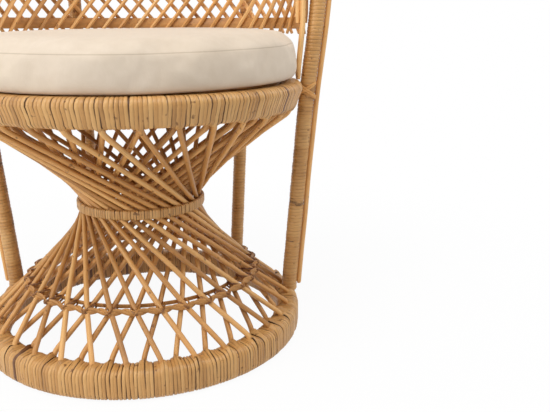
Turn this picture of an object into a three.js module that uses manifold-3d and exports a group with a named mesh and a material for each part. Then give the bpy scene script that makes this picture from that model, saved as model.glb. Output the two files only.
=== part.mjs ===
// Peacock chair: a round rattan chair on an hourglass base of twisted reeds, with a fan back
// and a loose round seat cushion. Millimetres, +Z up, the front of the chair towards -Y.
import * as THREE from 'three';
import { mergeVertices } from 'three/addons/utils/BufferGeometryUtils.js';
import Module from 'manifold-3d';

const wasm = await Module();
wasm.setup();

// Driving dimensions of the hourglass base
const fit = 0.3; // clearance between pieces that touch
const baseRadius = 280; // outside of the ring on the floor
const baseHeight = 48;
const seatRadius = 284; // outside of the seat ring
const seatRingHeight = 44;
const seatTuck = 5; // the seat ring's outside draws in towards its lower edge
const seatTop = 444; // top of the seat ring above the floor
const outerHoopThickness = 11;
const hoopEase = 4; // rounding of the rings' outer edges
const hoopSetback = 3; // the inner hoops are a little lower than the outer ones
const hoopSegments = 48;
const reedDiameter = 8.5;
const reedCount = 32; // reeds in each of the two crossing families
const reedTwist = 63.5; // degrees that a reed turns from the waist to either ring
const reedEndCover = 40; // length of a reed's end that is clamped between the hoops
const waistHeight = 236;
const waistReedRadius = 99; // middle of the outer reeds at the waist
const waistHoopHeight = 16.5;
const waistHoopThickness = 5;
const waistHoopEase = 2.5;
const midHoopHeight = 108; // level where the two families cross and are tied
const midHoopDiameter = 7;
const nailBite = 1.5; // depth of an inner reed in the hoop it is nailed to

// Driving dimensions of the seat
const deckHoopDiameter = 12;
const deckSlatDiameter = 8;
const deckSlatPitch = 48;
const deckBearerDiameter = 14;
const deckBearerSpacing = 180;
const cushionSetback = 9; // the cushion's full side lies inside the seat ring's
const cushionEdge = 60; // height of the cushion at its upper seam
const cushionHeight = 81; // height of the cushion at its crown
const cushionSeamInset = 17; // how far the lower seam lies inside the full side
const cushionCorner = 12; // reach of the rounding at the cushion's edges
const cushionSeamDrop = 3; // how far a seam lies within the height of its edge
const cushionGap = 2; // free space between the cushion and the wall behind it

// Driving dimensions of the posts and the back
const frontPostDiameter = 28;
const rearPostDiameter = 26;
const frontPostStep = 9; // posts stand midway between reeds, counted from the front
const rearPostStep = 13;
const footRun = 15; // length of a post or cane that stands straight on its ring
const sideCaneDiameter = 9;
const armCaneDiameter = 8;
const borderCaneDiameter = 10;
const latticeReedDiameter = 8;
const latticeGaps = 24; // diamonds along the back rail
const latticeSlope = 1.15; // rise of a lattice reed for each unit along the wall
const latticeLevels = 5; // stretches between the bends of a full lattice reed
const bowSlack = 2.5; // room for canes and reeds that bow between their bends
const railHeight = 537;
const railEnd = 78; // degrees from the middle of the back to the end of the rail
const armHeight = 640;
const archTop = 890;
const fanWidestHeight = 1020;
const fanHalfWidth = 530;
const fanTop = 1465;
const fanWidestAngle = 56; // how far the wall still curls round at its widest, in degrees
const fanFlareStart = 600;
const fanCurveRadius = 2000; // the fan curves backwards on this radius
const fanFlatten = 0.3; // share of the lean by which the wall gets flatter
const rimSettle = 120; // height over which the rim comes from the posts into the wall
const fanSpokes = 26; // in each of the two crossing families
const spokeSplay = 1.6; // places along the rim that a spoke leans over
const fanStart = 0.13; // share of the rim below the first spoke
const archStart = 0.1; // share of the arch below the first spoke
const fanHoopDiameter = 7;

// Sides of the canes and reeds, fewer where there are many of them
const postSides = 8;
const caneSides = 6;
const reedSides = 5;
const thinSides = 4;

// Sizes that follow from them
const reedRadius = reedDiameter / 2;
const cushionRadius = seatRadius - cushionSetback;
const reedStep = 360 / reedCount;
const seatBottom = seatTop - seatRingHeight;
const facetGap = (radius) => radius * (1 - Math.cos(Math.PI / hoopSegments));
const baseReedRadius = baseRadius - outerHoopThickness - reedRadius - fit - facetGap(baseRadius);
const seatReedRadius = seatRadius - outerHoopThickness - reedRadius - fit - facetGap(seatRadius);
const layerGap = fit + bowSlack;
const canePitch = (borderCaneDiameter + layerGap) / 2;
const reedLayer = (latticeReedDiameter + layerGap) / 2;
const wallHalf = canePitch + borderCaneDiameter / 2;
const wallRadius = cushionRadius + cushionGap + wallHalf;
const acrossFlats = (diameter, sides) => diameter * Math.cos(Math.PI / sides);

// Colours and gloss of the finishes
const finish = (color, roughness) => new THREE.MeshStandardMaterial({ color, roughness, metalness: 0 });
const wrappedCane = () => finish(0xba8f5c, 0.5);
const bareReed = () => finish(0xb07a45, 0.45);
const paleCane = () => finish(0xbe8652, 0.45);
const creamCloth = () => finish(0xe8dacb, 0.9);

const degrees = (angle) => THREE.MathUtils.degToRad(angle);
const eased = (value) => THREE.MathUtils.smoothstep(value, 0, 1);

// A point by its distance from the middle axis, its angle from the front towards +X and its height
function around(radius, angle, height) {
  const turn = degrees(angle);
  return new THREE.Vector3(radius * Math.sin(turn), -radius * Math.cos(turn), height);
}

// A path that bends only at its knots, each cut along the angle's bisector. The knots before its start
// and after its end, where they are given, turn its end faces to meet the piece that goes on there.
class KnotPath extends THREE.Curve {
  constructor(knots, before = knots[0], after = knots[knots.length - 1]) {
    super();
    this.knots = knots;
    this.before = before;
    this.after = after;
  }

  getPointAt(share, target = new THREE.Vector3()) {
    return target.copy(this.knots[Math.round(share * (this.knots.length - 1))]);
  }

  getTangentAt(share, target = new THREE.Vector3()) {
    const last = this.knots.length - 1;
    const here = Math.round(share * last);
    const into = this.knots[here].clone().sub(here > 0 ? this.knots[here - 1] : this.before).normalize();
    const out = (here < last ? this.knots[here + 1] : this.after).clone().sub(this.knots[here]).normalize();
    return target.copy(into).add(out).normalize();
  }
}

// A round cane of a few sides along its knots
function cane(knots, diameter, sides, before, after) {
  const corners = [];
  for (let side = 0; side < sides; side += 1) {
    const turn = (2 * Math.PI * (side + 0.5)) / sides;
    corners.push(new THREE.Vector2(Math.cos(turn), Math.sin(turn)).multiplyScalar(diameter / 2));
  }
  const extrudePath = new KnotPath(knots, before, after);
  return new THREE.ExtrudeGeometry(new THREE.Shape(corners), { steps: knots.length - 1, extrudePath });
}

// A ring or a round body turned from a profile of radius and height
function turned(profile, segments) {
  return new THREE.LatheGeometry(profile, segments).rotateX(Math.PI / 2);
}

function closedLoop(corners) {
  const profile = corners.map(([radius, height]) => new THREE.Vector2(radius, height));
  profile.push(profile[0].clone());
  return profile;
}

// A hoop of flat section with its outer edges eased
function bandHoop(inside, outside, low, high, ease) {
  const corners = [
    [inside, low], [outside - ease, low], [outside, low + ease],
    [outside, high - ease], [outside - ease, high], [inside, high],
  ];
  return turned(closedLoop(corners), hoopSegments);
}

// A hoop of round section
function roundHoop(radius, height, diameter, sides) {
  const corners = [];
  for (let side = 0; side < sides; side += 1) {
    const turn = (2 * Math.PI * (side + 0.5)) / sides;
    corners.push([radius + (diameter / 2) * Math.cos(turn), height + (diameter / 2) * Math.sin(turn)]);
  }
  return turned(closedLoop(corners), hoopSegments);
}

const weldDistance = 1e-4;
function positionsOnly(geometry) {
  const bare = geometry.clone();
  bare.deleteAttribute('normal');
  bare.deleteAttribute('uv');
  return mergeVertices(bare, weldDistance);
}

// Turns the faces of a closed body outwards
function facingOut(geometry) {
  const body = positionsOnly(geometry);
  const place = body.getAttribute('position');
  const index = body.index.array;
  const corner = [new THREE.Vector3(), new THREE.Vector3(), new THREE.Vector3()];
  let volume = 0;
  for (let start = 0; start < index.length; start += 3) {
    corner.forEach((point, which) => point.fromBufferAttribute(place, index[start + which]));
    volume += corner[0].dot(corner[1].clone().cross(corner[2]));
  }
  if (volume < 0) {
    for (let start = 0; start < index.length; start += 3) {
      [index[start], index[start + 1]] = [index[start + 1], index[start]];
    }
  }
  return body;
}

function solid(geometry) {
  const body = facingOut(geometry);
  return new wasm.Manifold(new wasm.Mesh({
    numProp: 3,
    vertProperties: new Float32Array(body.getAttribute('position').array),
    triVerts: new Uint32Array(body.index.array),
  }));
}

function fused(geometries) {
  const whole = geometries.map(solid).reduce((joined, next) => joined.add(next));
  const mesh = whole.getMesh();
  const body = new THREE.BufferGeometry();
  body.setAttribute('position', new THREE.BufferAttribute(new Float32Array(mesh.vertProperties), 3));
  body.setIndex(new THREE.BufferAttribute(new Uint32Array(mesh.triVerts), 1));
  return body;
}

function piece(group, name, geometry, material) {
  const body = facingOut(geometry);
  body.computeVertexNormals();
  const mesh = new THREE.Mesh(body, material);
  mesh.name = name;
  group.add(mesh);
}

// Knots of one reed: clamped upright in the base ring, straight to the waist, straight to the seat ring
function reedKnots(angle, twist, inset) {
  const baseEdge = baseHeight + reedRadius / 2;
  const seatEdge = seatBottom - reedRadius / 2;
  return [
    around(baseReedRadius - inset, angle, baseHeight - reedEndCover),
    around(baseReedRadius - inset, angle, baseEdge),
    around(waistReedRadius - inset, angle - twist, waistHeight),
    around(seatReedRadius - inset, angle - 2 * twist, seatEdge),
    around(seatReedRadius - inset, angle - 2 * twist, seatBottom + reedEndCover),
  ];
}

// Where a reed stands at the level of the mid hoops
function atMidHoop(knots) {
  const [, low, high] = knots;
  return low.clone().lerp(high, (midHoopHeight - low.z) / (high.z - low.z));
}

function turnOf(point) {
  return THREE.MathUtils.radToDeg(Math.atan2(point.x, -point.y));
}

// The inner family mirrors the outer one and meets it at the mid hoops
function innerReedStart(outerStart, inset) {
  const outerTurn = turnOf(atMidHoop(reedKnots(0, reedTwist, 0)));
  const innerTurn = turnOf(atMidHoop(reedKnots(0, -reedTwist, inset)));
  return outerStart + outerTurn - innerTurn;
}

// Least distance between two straight stretches
const parallelSpread = 1e-9;
function stretchGap(a, b, c, d) {
  const along = b.clone().sub(a);
  const other = d.clone().sub(c);
  const between = a.clone().sub(c);
  const aa = along.dot(along);
  const bb = other.dot(other);
  const ab = along.dot(other);
  const ac = along.dot(between);
  const bc = other.dot(between);
  const spread = aa * bb - ab * ab;
  const first = spread > parallelSpread ? THREE.MathUtils.clamp((ab * bc - ac * bb) / spread, 0, 1) : 0;
  const second = THREE.MathUtils.clamp((ab * first + bc) / bb, 0, 1);
  const nearest = THREE.MathUtils.clamp((ab * second - ac) / aa, 0, 1);
  return between.addScaledVector(along, nearest).addScaledVector(other, -second).length();
}

function familyGap(inset) {
  const outer = reedKnots(0, reedTwist, 0);
  let gap = Infinity;
  for (let count = 0; count < reedCount; count += 1) {
    const inner = reedKnots(innerReedStart(0, inset) + count * reedStep, -reedTwist, inset);
    for (let low = 0; low < outer.length - 1; low += 1) {
      for (let other = 0; other < inner.length - 1; other += 1) {
        gap = Math.min(gap, stretchGap(outer[low], outer[low + 1], inner[other], inner[other + 1]));
      }
    }
  }
  return gap;
}

// The inner family is set in just far enough for its reeds to pass behind the outer ones
const insetStep = 0.25;
let innerInset = reedDiameter;
while (familyGap(innerInset) < reedDiameter + fit) {
  innerInset += insetStep;
}

// Radius and height along a reed, finely, for the hoops that press on it
function reedProfile(knots) {
  const profile = [];
  const samplesPerStretch = 200;
  for (let low = 0; low < knots.length - 1; low += 1) {
    for (let sample = 0; sample <= samplesPerStretch; sample += 1) {
      const point = knots[low].clone().lerp(knots[low + 1], sample / samplesPerStretch);
      profile.push({ radius: Math.hypot(point.x, point.y), height: point.z });
    }
  }
  return profile;
}

// Middle radius of a hoop that lies against the outside (+1) or the inside (-1) of a family
function pressedHoopRadius(knots, height, hoopDiameter, side) {
  const need = reedRadius + hoopDiameter / 2 + fit;
  const touching = reedProfile(knots).filter((at) => Math.abs(at.height - height) < need);
  const reach = touching.map((at) => side * at.radius + Math.sqrt(need ** 2 - (at.height - height) ** 2));
  const radius = side * Math.max(...reach);
  return side > 0 ? radius + facetGap(radius) : radius;
}

// Hourglass base
const hourglass = new THREE.Group();
const outerStart = reedStep / 2;
const outerReed = reedKnots(0, reedTwist, 0);
const innerReed = reedKnots(0, -reedTwist, innerInset);
const baseHoopInside = baseRadius - outerHoopThickness;
const seatHoopInside = seatRadius - outerHoopThickness;
piece(hourglass, 'base_outer_hoop',
  bandHoop(baseHoopInside, baseRadius, 0, baseHeight, hoopEase), wrappedCane());

const seatHoopProfile = [
  [seatHoopInside, seatBottom], [seatRadius - seatTuck, seatBottom],
  [seatRadius, seatBottom + seatRingHeight / 3], [seatRadius, seatTop - hoopEase],
  [seatRadius - hoopEase, seatTop], [seatHoopInside, seatTop],
];
piece(hourglass, 'seat_outer_hoop', turned(closedLoop(seatHoopProfile), hoopSegments), wrappedCane());

for (let count = 0; count < reedCount; count += 1) {
  const knots = reedKnots(outerStart + count * reedStep, reedTwist, 0);
  const number = String(count + 1).padStart(2, '0');
  piece(hourglass, `outer_reed_${number}`, cane(knots, reedDiameter, reedSides), bareReed());
}

// The inner reeds are nailed to the inside of two inner hoops. They come in panels of a few reeds, each
// with its own stretch of both hoops.
const cagePanels = ['front', 'right', 'rear', 'left'];
const frontAngle = -90; // three.js counts an arc's angles from +X, the chair counts from its front

function hoopStretch(reedLine, low, high, startAngle, endAngle) {
  const inside = reedLine - innerInset + reedRadius - nailBite;
  const outside = reedLine - reedRadius - fit;
  const endGap = fit / inside;
  const start = degrees(startAngle + frontAngle) + endGap / 2;
  const end = degrees(endAngle + frontAngle) - endGap / 2;
  const outline = new THREE.Shape().absarc(0, 0, outside, start, end, false);
  outline.absarc(0, 0, inside, end, start, true);
  const curveSegments = hoopSegments / (2 * cagePanels.length); // three.js doubles these on an arc
  const hoop = new THREE.ExtrudeGeometry(outline, { depth: high - low, curveSegments, bevelEnabled: false });
  return hoop.translate(0, 0, low);
}

cagePanels.forEach((place, panel) => {
  const firstReed = Math.round((panel * reedCount) / cagePanels.length);
  const endReed = Math.round(((panel + 1) * reedCount) / cagePanels.length);
  const angleOf = (count) => innerReedStart(outerStart, innerInset) + count * reedStep;
  const from = angleOf(firstReed - 0.5);
  const to = angleOf(endReed - 0.5);
  const seatTurn = 2 * reedTwist;
  const seatLow = seatBottom + hoopSetback;
  const seatHigh = seatTop - hoopSetback;
  const cage = [
    hoopStretch(baseReedRadius, hoopSetback, baseHeight - hoopSetback, from, to),
    hoopStretch(seatReedRadius, seatLow, seatHigh, from + seatTurn, to + seatTurn),
  ];
  for (let count = firstReed; count < endReed; count += 1) {
    cage.push(cane(reedKnots(angleOf(count), -reedTwist, innerInset), reedDiameter, thinSides));
  }
  piece(hourglass, `inner_cage_${place}`, fused(cage), bareReed());
});

const waistLow = waistHeight - waistHoopHeight / 2;
const waistHigh = waistHeight + waistHoopHeight / 2;
const edgeRadius = (height) => pressedHoopRadius(outerReed, height, 0, 1);
const waistInside = Math.max(edgeRadius(waistLow), edgeRadius(waistHeight), edgeRadius(waistHigh));
piece(hourglass, 'waist_hoop',
  bandHoop(waistInside, waistInside + waistHoopThickness, waistLow, waistHigh, waistHoopEase), wrappedCane());
const midOuterRadius = pressedHoopRadius(outerReed, midHoopHeight, midHoopDiameter, 1);
const midInnerRadius = pressedHoopRadius(innerReed, midHoopHeight, midHoopDiameter, -1);
piece(hourglass, 'mid_hoop_outer',
  roundHoop(midOuterRadius, midHoopHeight, midHoopDiameter, thinSides), paleCane());
piece(hourglass, 'mid_hoop_inner',
  roundHoop(midInnerRadius, midHoopHeight, midHoopDiameter, thinSides), paleCane());

// Seat: a slatted deck inside the ring, and the loose cushion on it
const seat = new THREE.Group();
const reedsInside = seatReedRadius - innerInset - reedRadius;
const deckRadius = reedsInside - fit - acrossFlats(deckHoopDiameter, thinSides) / 2;
const slatHeight = seatTop - acrossFlats(deckSlatDiameter, thinSides) / 2;
const deckHoopHeight = slatHeight - deckHoopDiameter / 4; // the slats are let into the hoop
const deckBearerHeight = slatHeight - deckBearerDiameter / 3; // and into the bearers below them
const chord = (offset) => Math.sqrt(deckRadius ** 2 - offset ** 2);
const deck = [roundHoop(deckRadius, deckHoopHeight, deckHoopDiameter, thinSides)];
const slatRows = Math.floor((deckRadius - deckSlatDiameter) / deckSlatPitch);
for (let row = -slatRows; row <= slatRows; row += 1) {
  const y = row * deckSlatPitch;
  const ends = [-1, 1].map((side) => new THREE.Vector3(side * chord(y), y, slatHeight));
  deck.push(cane(ends, deckSlatDiameter, thinSides));
}
for (const side of [-1, 1]) {
  const x = (side * deckBearerSpacing) / 2;
  const ends = [-1, 1].map((end) => new THREE.Vector3(x, end * chord(x), deckBearerHeight));
  deck.push(cane(ends, deckBearerDiameter, caneSides));
}
piece(seat, 'seat_deck', fused(deck), bareReed());

// The cushion is flat below, drawn in at its two seams, full at its side and crowned on top
const cushionBottom = seatTop + fit;
const cushionSide = [
  [cushionRadius - 2 * cushionSeamInset, 0], [cushionRadius - cushionSeamInset, cushionSeamDrop],
  [cushionRadius - cushionCorner / 2, cushionCorner], [cushionRadius, cushionEdge / 2],
  [cushionRadius - cushionCorner / 3, cushionEdge - cushionCorner],
  [cushionRadius - cushionCorner, cushionEdge - cushionSeamDrop],
];
const cushionPoint = ([radius, height]) => new THREE.Vector2(radius, cushionBottom + height);
const cushionProfile = cushionSide.map(cushionPoint);
const crownRings = 6;
const cushionSegments = 32;
for (let ring = 1; ring < crownRings; ring += 1) {
  const share = ring / crownRings;
  const radius = (cushionRadius - cushionCorner) * (1 - share);
  const rise = (cushionHeight - cushionEdge) * Math.sin((Math.PI / 2) * share);
  cushionProfile.push(cushionPoint([radius, cushionEdge + rise]));
}
cushionProfile.unshift(cushionPoint([0, 0]));
cushionProfile.push(cushionPoint([0, cushionHeight]));
piece(seat, 'seat_cushion', turned(cushionProfile, cushionSegments), creamCloth());

// The wall of arms and back: an arc round the seat that leans back, widens and flattens as it rises
const fanWidth = fanHalfWidth / Math.sin(degrees(fanWidestAngle));
const lean = (height) => Math.max(0, height - railHeight) ** 2 / (2 * fanCurveRadius);
function wallWidth(height) {
  const share = (height - fanFlareStart) / (fanWidestHeight - fanFlareStart);
  return wallRadius + (fanWidth - wallRadius) * eased(share);
}

function wallSurface(turn, height) {
  const deep = wallRadius - fanFlatten * lean(height);
  const x = wallWidth(height) * Math.sin(turn);
  return new THREE.Vector3(x, lean(height) + deep * Math.cos(turn), height);
}

const turnNudge = 0.01;
const heightNudge = 1;
function wallNormal(turn, height) {
  const across = wallSurface(turn + turnNudge, height).sub(wallSurface(turn - turnNudge, height));
  const upward = wallSurface(turn, height + heightNudge).sub(wallSurface(turn, height - heightNudge));
  return upward.cross(across).normalize();
}

// A point on the wall by its angle from the middle of the back, or by its distance from the middle plane
function onWall(turn, height, outwards) {
  return wallSurface(turn, height).addScaledVector(wallNormal(turn, height), outwards);
}
const wallTurn = (x, height) => Math.asin(THREE.MathUtils.clamp(x / wallWidth(height), -1, 1));
const atWidth = (x, height, outwards) => onWall(wallTurn(x, height), height, outwards);

const back = new THREE.Group();
const sides = { left: -1, right: 1 };
const railTurn = degrees(railEnd);
const widthAt = (turn, height) => wallWidth(height) * Math.sin(turn);

// The arch leaves the arms towards the middle of the back and rounds off at its top
const archSteps = 10;
const archOutline = [];
for (let step = 0; step <= archSteps; step += 1) {
  const share = step / archSteps;
  const height = armHeight + (archTop - armHeight) * Math.sin((Math.PI / 2) * share);
  archOutline.push([widthAt(railTurn * (1 - share), height), height]);
}

function archTurnAt(height) {
  const share = THREE.MathUtils.clamp((height - armHeight) / (archTop - armHeight), 0, 1);
  return railTurn * (1 - Math.asin(share) / (Math.PI / 2));
}

// Mirrors a half outline, from its outer end to the top, into the whole one from left to right
function wholeOutline(half) {
  const left = half.map(([x, height]) => [-x, height]);
  return [...left, ...half.slice(0, -1).reverse()];
}

// Border canes of the lattice: the rail over the seat and the arch of the arms and back
const railSteps = 10;
const uprightSteps = 3;
function latticeBorder(outwards) {
  const rail = [];
  for (let step = -railSteps; step <= railSteps; step += 1) {
    rail.push(onWall(railTurn * (step / railSteps), railHeight, outwards));
  }
  const bow = wholeOutline(archOutline).map(([x, height]) => atWidth(x, height, outwards));
  for (let step = uprightSteps - 1; step >= 0; step -= 1) {
    const height = THREE.MathUtils.lerp(railHeight, armHeight, step / uprightSteps);
    bow.unshift(onWall(-railTurn, height, outwards));
    bow.push(onWall(railTurn, height, outwards));
  }
  return [rail, bow].map((knots) => cane(knots, borderCaneDiameter, caneSides));
}

// Angle that a lattice reed has moved along the wall at each small step of its rise
const stepsPerLevel = 35;
const latticeSteps = latticeLevels * stepsPerLevel;
const latticeRise = (archTop - railHeight) / latticeSteps;
const latticeTurns = [0];
for (let step = 0; step < latticeSteps; step += 1) {
  const width = wallWidth(railHeight + step * latticeRise);
  latticeTurns.push(latticeTurns[step] + latticeRise / (latticeSlope * width));
}

// One family of the lattice: every reed climbs towards one side, stops at the border and bends only at
// the levels that the other family has too, so that both bow alike where they cross
function latticeFamily(side, outwards) {
  const pitch = (2 * railTurn) / latticeGaps;
  const shortest = (3 * latticeReedDiameter) / latticeRise;
  const reeds = [];
  const before = Math.ceil(latticeTurns[latticeSteps] / pitch);
  for (let count = -before; count < latticeGaps; count += 1) {
    const start = -railTurn + (count + 0.5) * pitch;
    const inside = [];
    latticeTurns.forEach((moved, step) => {
      const height = railHeight + step * latticeRise;
      if (Math.abs(start + moved) <= archTurnAt(height)) {
        inside.push(step);
      }
    });
    if (inside.length > shortest) {
      const [first, last] = [inside[0], inside[inside.length - 1]];
      const bends = inside.filter((step) => step % stepsPerLevel === 0);
      const steps = [first, ...bends.filter((step) => step > first && step < last), last];
      const knots = steps.map((step) =>
        onWall(side * (start + latticeTurns[step]), railHeight + step * latticeRise, outwards));
      reeds.push(cane(knots, latticeReedDiameter, thinSides));
    }
  }
  return reeds;
}
const latticeInner = [...latticeBorder(-canePitch), ...latticeFamily(1, -reedLayer)];
const latticeOuter = [...latticeBorder(canePitch), ...latticeFamily(-1, reedLayer)];
piece(back, 'lattice_inner', fused(latticeInner), paleCane());
piece(back, 'lattice_outer', fused(latticeOuter), paleCane());

// Outline of the fan's rim: it swings out above the arms and closes in a round top
const rimOutline = [];
const rimSteps = 7;
for (let step = 0; step < rimSteps; step += 1) {
  const share = step / rimSteps;
  const height = armHeight + (fanWidestHeight - armHeight) * share;
  const turn = THREE.MathUtils.lerp(railTurn, degrees(fanWidestAngle), eased(share));
  rimOutline.push([widthAt(turn, height), height]);
}
const crownSteps = 9;
for (let step = 0; step <= crownSteps; step += 1) {
  const turn = (Math.PI / 2) * (step / crownSteps);
  const height = fanWidestHeight + (fanTop - fanWidestHeight) * Math.sin(turn);
  rimOutline.push([fanHalfWidth * Math.cos(turn), height]);
}

// The posts stand outside the wall, and the rim that goes on from them comes into its middle
const postOutset = wallHalf + fit + frontPostDiameter / 2;
const rimOutset = (height) => postOutset * (1 - eased((height - armHeight) / rimSettle));
const rimKnots = wholeOutline(rimOutline).map(([x, height]) => atWidth(x, height, rimOutset(height)));

// Front posts: upright on the base ring, past the seat ring and the rail, up to the arms
const frontTurn = frontPostStep * reedStep;
const footRadius = baseRadius - outerHoopThickness - fit;
const footHeight = baseHeight + fit;
const seatMiddle = seatTop - seatRingHeight / 2;
function postKnots(side, stepTurn, diameter, outset, aside) {
  const passRadius = seatRadius + 2 * fit + diameter / 2;
  return [
    around(footRadius + aside, side * stepTurn, footHeight),
    around(footRadius + aside, side * stepTurn, footHeight + footRun),
    around(passRadius + aside, side * stepTurn, seatMiddle),
    onWall(side * degrees(180 - stepTurn), railHeight, outset + aside),
  ];
}

// The thin cane beside the rim: away from the seat at the arms, away from the fan above them
const rimPath = new KnotPath(rimKnots);
const postAside = frontPostDiameter / 2 + fit + acrossFlats(sideCaneDiameter, reedSides) / 2;
const rimAside = postAside + bowSlack;
function besideRim(knot, count) {
  const run = rimPath.getTangentAt(count / (rimKnots.length - 1));
  const [x, height] = wholeOutline(rimOutline)[count];
  const outwards = wallNormal(wallTurn(x, height), height);
  const away = run.clone().cross(outwards).normalize();
  const blend = eased((height - armHeight) / rimSettle);
  const aside = outwards.multiplyScalar(1 - blend).addScaledVector(away, blend);
  aside.addScaledVector(run, -aside.dot(run)).normalize();
  return knot.clone().addScaledVector(aside, rimAside);
}
const rimCaneKnots = rimKnots.map(besideRim);

// A run from the left foot over the fan to the right foot is cut at the two arms into three pieces
function cutAtArms(names, left, middle, right, diameter, sides, material) {
  const last = middle.length - 1;
  const share = fit / 2 / middle[0].distanceTo(middle[1]);
  const start = middle[0].clone().lerp(middle[1], share);
  const end = middle[last].clone().lerp(middle[last - 1], share);
  const above = [start, ...middle.slice(1, last), end];
  const leftRun = [...left, middle[0]];
  const rightRun = [...right, middle[last]];
  const leftCane = cane(leftRun, diameter, sides, undefined, middle[1]);
  const middleCane = cane(above, diameter, sides, left[left.length - 1], right[right.length - 1]);
  const rightCane = cane(rightRun, diameter, sides, undefined, middle[last - 1]);
  [leftCane, middleCane, rightCane].forEach((run, count) => piece(back, names[count], run, material()));
}
const frontPost = (side) => postKnots(side, frontTurn, frontPostDiameter, postOutset, 0);
const sideCane = (side) => postKnots(side, frontTurn, frontPostDiameter, postOutset, postAside);
cutAtArms(['front_post_left', 'fan_rim', 'front_post_right'],
  frontPost(-1), rimKnots, frontPost(1), frontPostDiameter, postSides, wrappedCane);
cutAtArms(['side_cane_left', 'rim_cane', 'side_cane_right'],
  sideCane(-1), rimCaneKnots, sideCane(1), sideCaneDiameter, reedSides, paleCane);

// Arm canes: a pair in front of each end of the lattice, standing on the seat ring. The rear one lies
// in the groove between the two border canes.
const armCaneFoot = cushionRadius + cushionGap + armCaneDiameter / 2;
const grooveReach = (borderCaneDiameter + armCaneDiameter) / 2 + fit;
const grooveDepth = Math.sqrt(grooveReach ** 2 - canePitch ** 2);
for (const [name, side] of Object.entries(sides)) {
  ['rear', 'front'].forEach((place, count) => {
    const turn = railTurn + (grooveDepth + count * (armCaneDiameter + fit)) / wallRadius;
    const footTurn = side * (180 - THREE.MathUtils.radToDeg(turn));
    const knots = [0, footRun].map((rise) => around(armCaneFoot, footTurn, seatTop + fit + rise));
    for (let step = 0; step <= uprightSteps; step += 1) {
      const height = THREE.MathUtils.lerp(railHeight, armHeight, step / uprightSteps);
      knots.push(onWall(side * turn, height, 0));
    }
    piece(back, `arm_cane_${place}_${name}`, cane(knots, armCaneDiameter, reedSides), paleCane());
  });
}

// Rear posts: behind the lattice, up to the underside of the rim
const rearTurn = rearPostStep * reedStep;
const rearOutset = wallHalf + fit + rearPostDiameter / 2;
const rimClear = frontPostDiameter / 2 + rearPostDiameter / 2 + fit;
const rimSampleCount = 400;
const rimSamples = new THREE.CatmullRomCurve3(rimKnots).getSpacedPoints(rimSampleCount);
const rearRises = 8;
for (const [name, side] of Object.entries(sides)) {
  const wallSide = side * degrees(180 - rearTurn);
  const clearOfRim = (height) => {
    const point = onWall(wallSide, height, rearOutset);
    return rimSamples.every((sample) => sample.distanceTo(point) > rimClear);
  };
  let top = archTop;
  while (clearOfRim(top + 1)) {
    top += 1;
  }
  const knots = postKnots(side, rearTurn, rearPostDiameter, rearOutset, 0);
  for (let rise = 1; rise <= rearRises; rise += 1) {
    const height = THREE.MathUtils.lerp(railHeight, top, rise / rearRises);
    knots.push(onWall(wallSide, height, rearOutset));
  }
  piece(back, `rear_post_${name}`, cane(knots, rearPostDiameter, postSides), wrappedCane());
}

// Fan: crossing spokes from the arch to a pair of canes inside the rim, and a hoop halfway
function evenly(outline, share) {
  const path = new THREE.CatmullRomCurve3(outline.map(([x, height]) => new THREE.Vector3(x, 0, height)));
  const point = path.getPointAt(share);
  return [point.x, point.z];
}

// Direction of an outline at a share of its length
const shareNudge = 0.002;
function runAt(outline, share) {
  const [x, height] = evenly(outline, share);
  const [ahead, aheadHeight] = evenly(outline, share + shareNudge);
  return new THREE.Vector2(ahead - x, aheadHeight - height).normalize();
}
const fanEdge = wholeOutline(rimOutline);
const fanInset = frontPostDiameter / 2 + fit + bowSlack + borderCaneDiameter / 2;
function insideRim(share) {
  const [x, height] = evenly(fanEdge, share);
  const run = runAt(fanEdge, share);
  return [x + run.y * fanInset, height - run.x * fanInset];
}
const rimShare = (place) => fanStart + (1 - 2 * fanStart) * place;
const archShare = (place) => archStart + (1 - 2 * archStart) * place;
const archInset = borderCaneDiameter / 2 + fit + latticeReedDiameter / 2;
const archEdge = wholeOutline(archOutline);

// How squarely a line from the arch leaves it, from 0 along the arch to 1 straight away from it
const squareness = (share, away) => Math.abs(runAt(archEdge, share).cross(away));
const spokeStretches = 2;

function spokeFamily(side, outwards) {
  const spokes = [];
  for (let count = 0; count < fanSpokes; count += 1) {
    const place = (count + 0.5) / fanSpokes;
    const over = place + (side * spokeSplay) / fanSpokes;
    if (over > 0 && over < 1) {
      const foot = new THREE.Vector2(...evenly(archEdge, archShare(place)));
      const tip = new THREE.Vector2(...insideRim(rimShare(over)));
      const away = tip.clone().sub(foot).normalize();
      foot.addScaledVector(away, archInset / squareness(archShare(place), away));
      const knots = [];
      for (let knot = 0; knot <= spokeStretches; knot += 1) {
        const at = foot.clone().lerp(tip, knot / spokeStretches);
        knots.push(atWidth(at.x, at.y, outwards));
      }
      spokes.push(cane(knots, latticeReedDiameter, thinSides));
    }
  }
  return spokes;
}

const fanCaneSteps = 22;
function fanBorder(outwards) {
  const knots = [];
  for (let step = 0; step <= fanCaneSteps; step += 1) {
    const [x, height] = insideRim(rimShare(step / fanCaneSteps));
    knots.push(atWidth(x, height, outwards));
  }
  return cane(knots, borderCaneDiameter, caneSides);
}
const spokesInner = [fanBorder(-canePitch), ...spokeFamily(1, -reedLayer)];
const spokesOuter = [fanBorder(canePitch), ...spokeFamily(-1, reedLayer)];
piece(back, 'fan_spokes_inner', fused(spokesInner), paleCane());
piece(back, 'fan_spokes_outer', fused(spokesOuter), paleCane());

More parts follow.
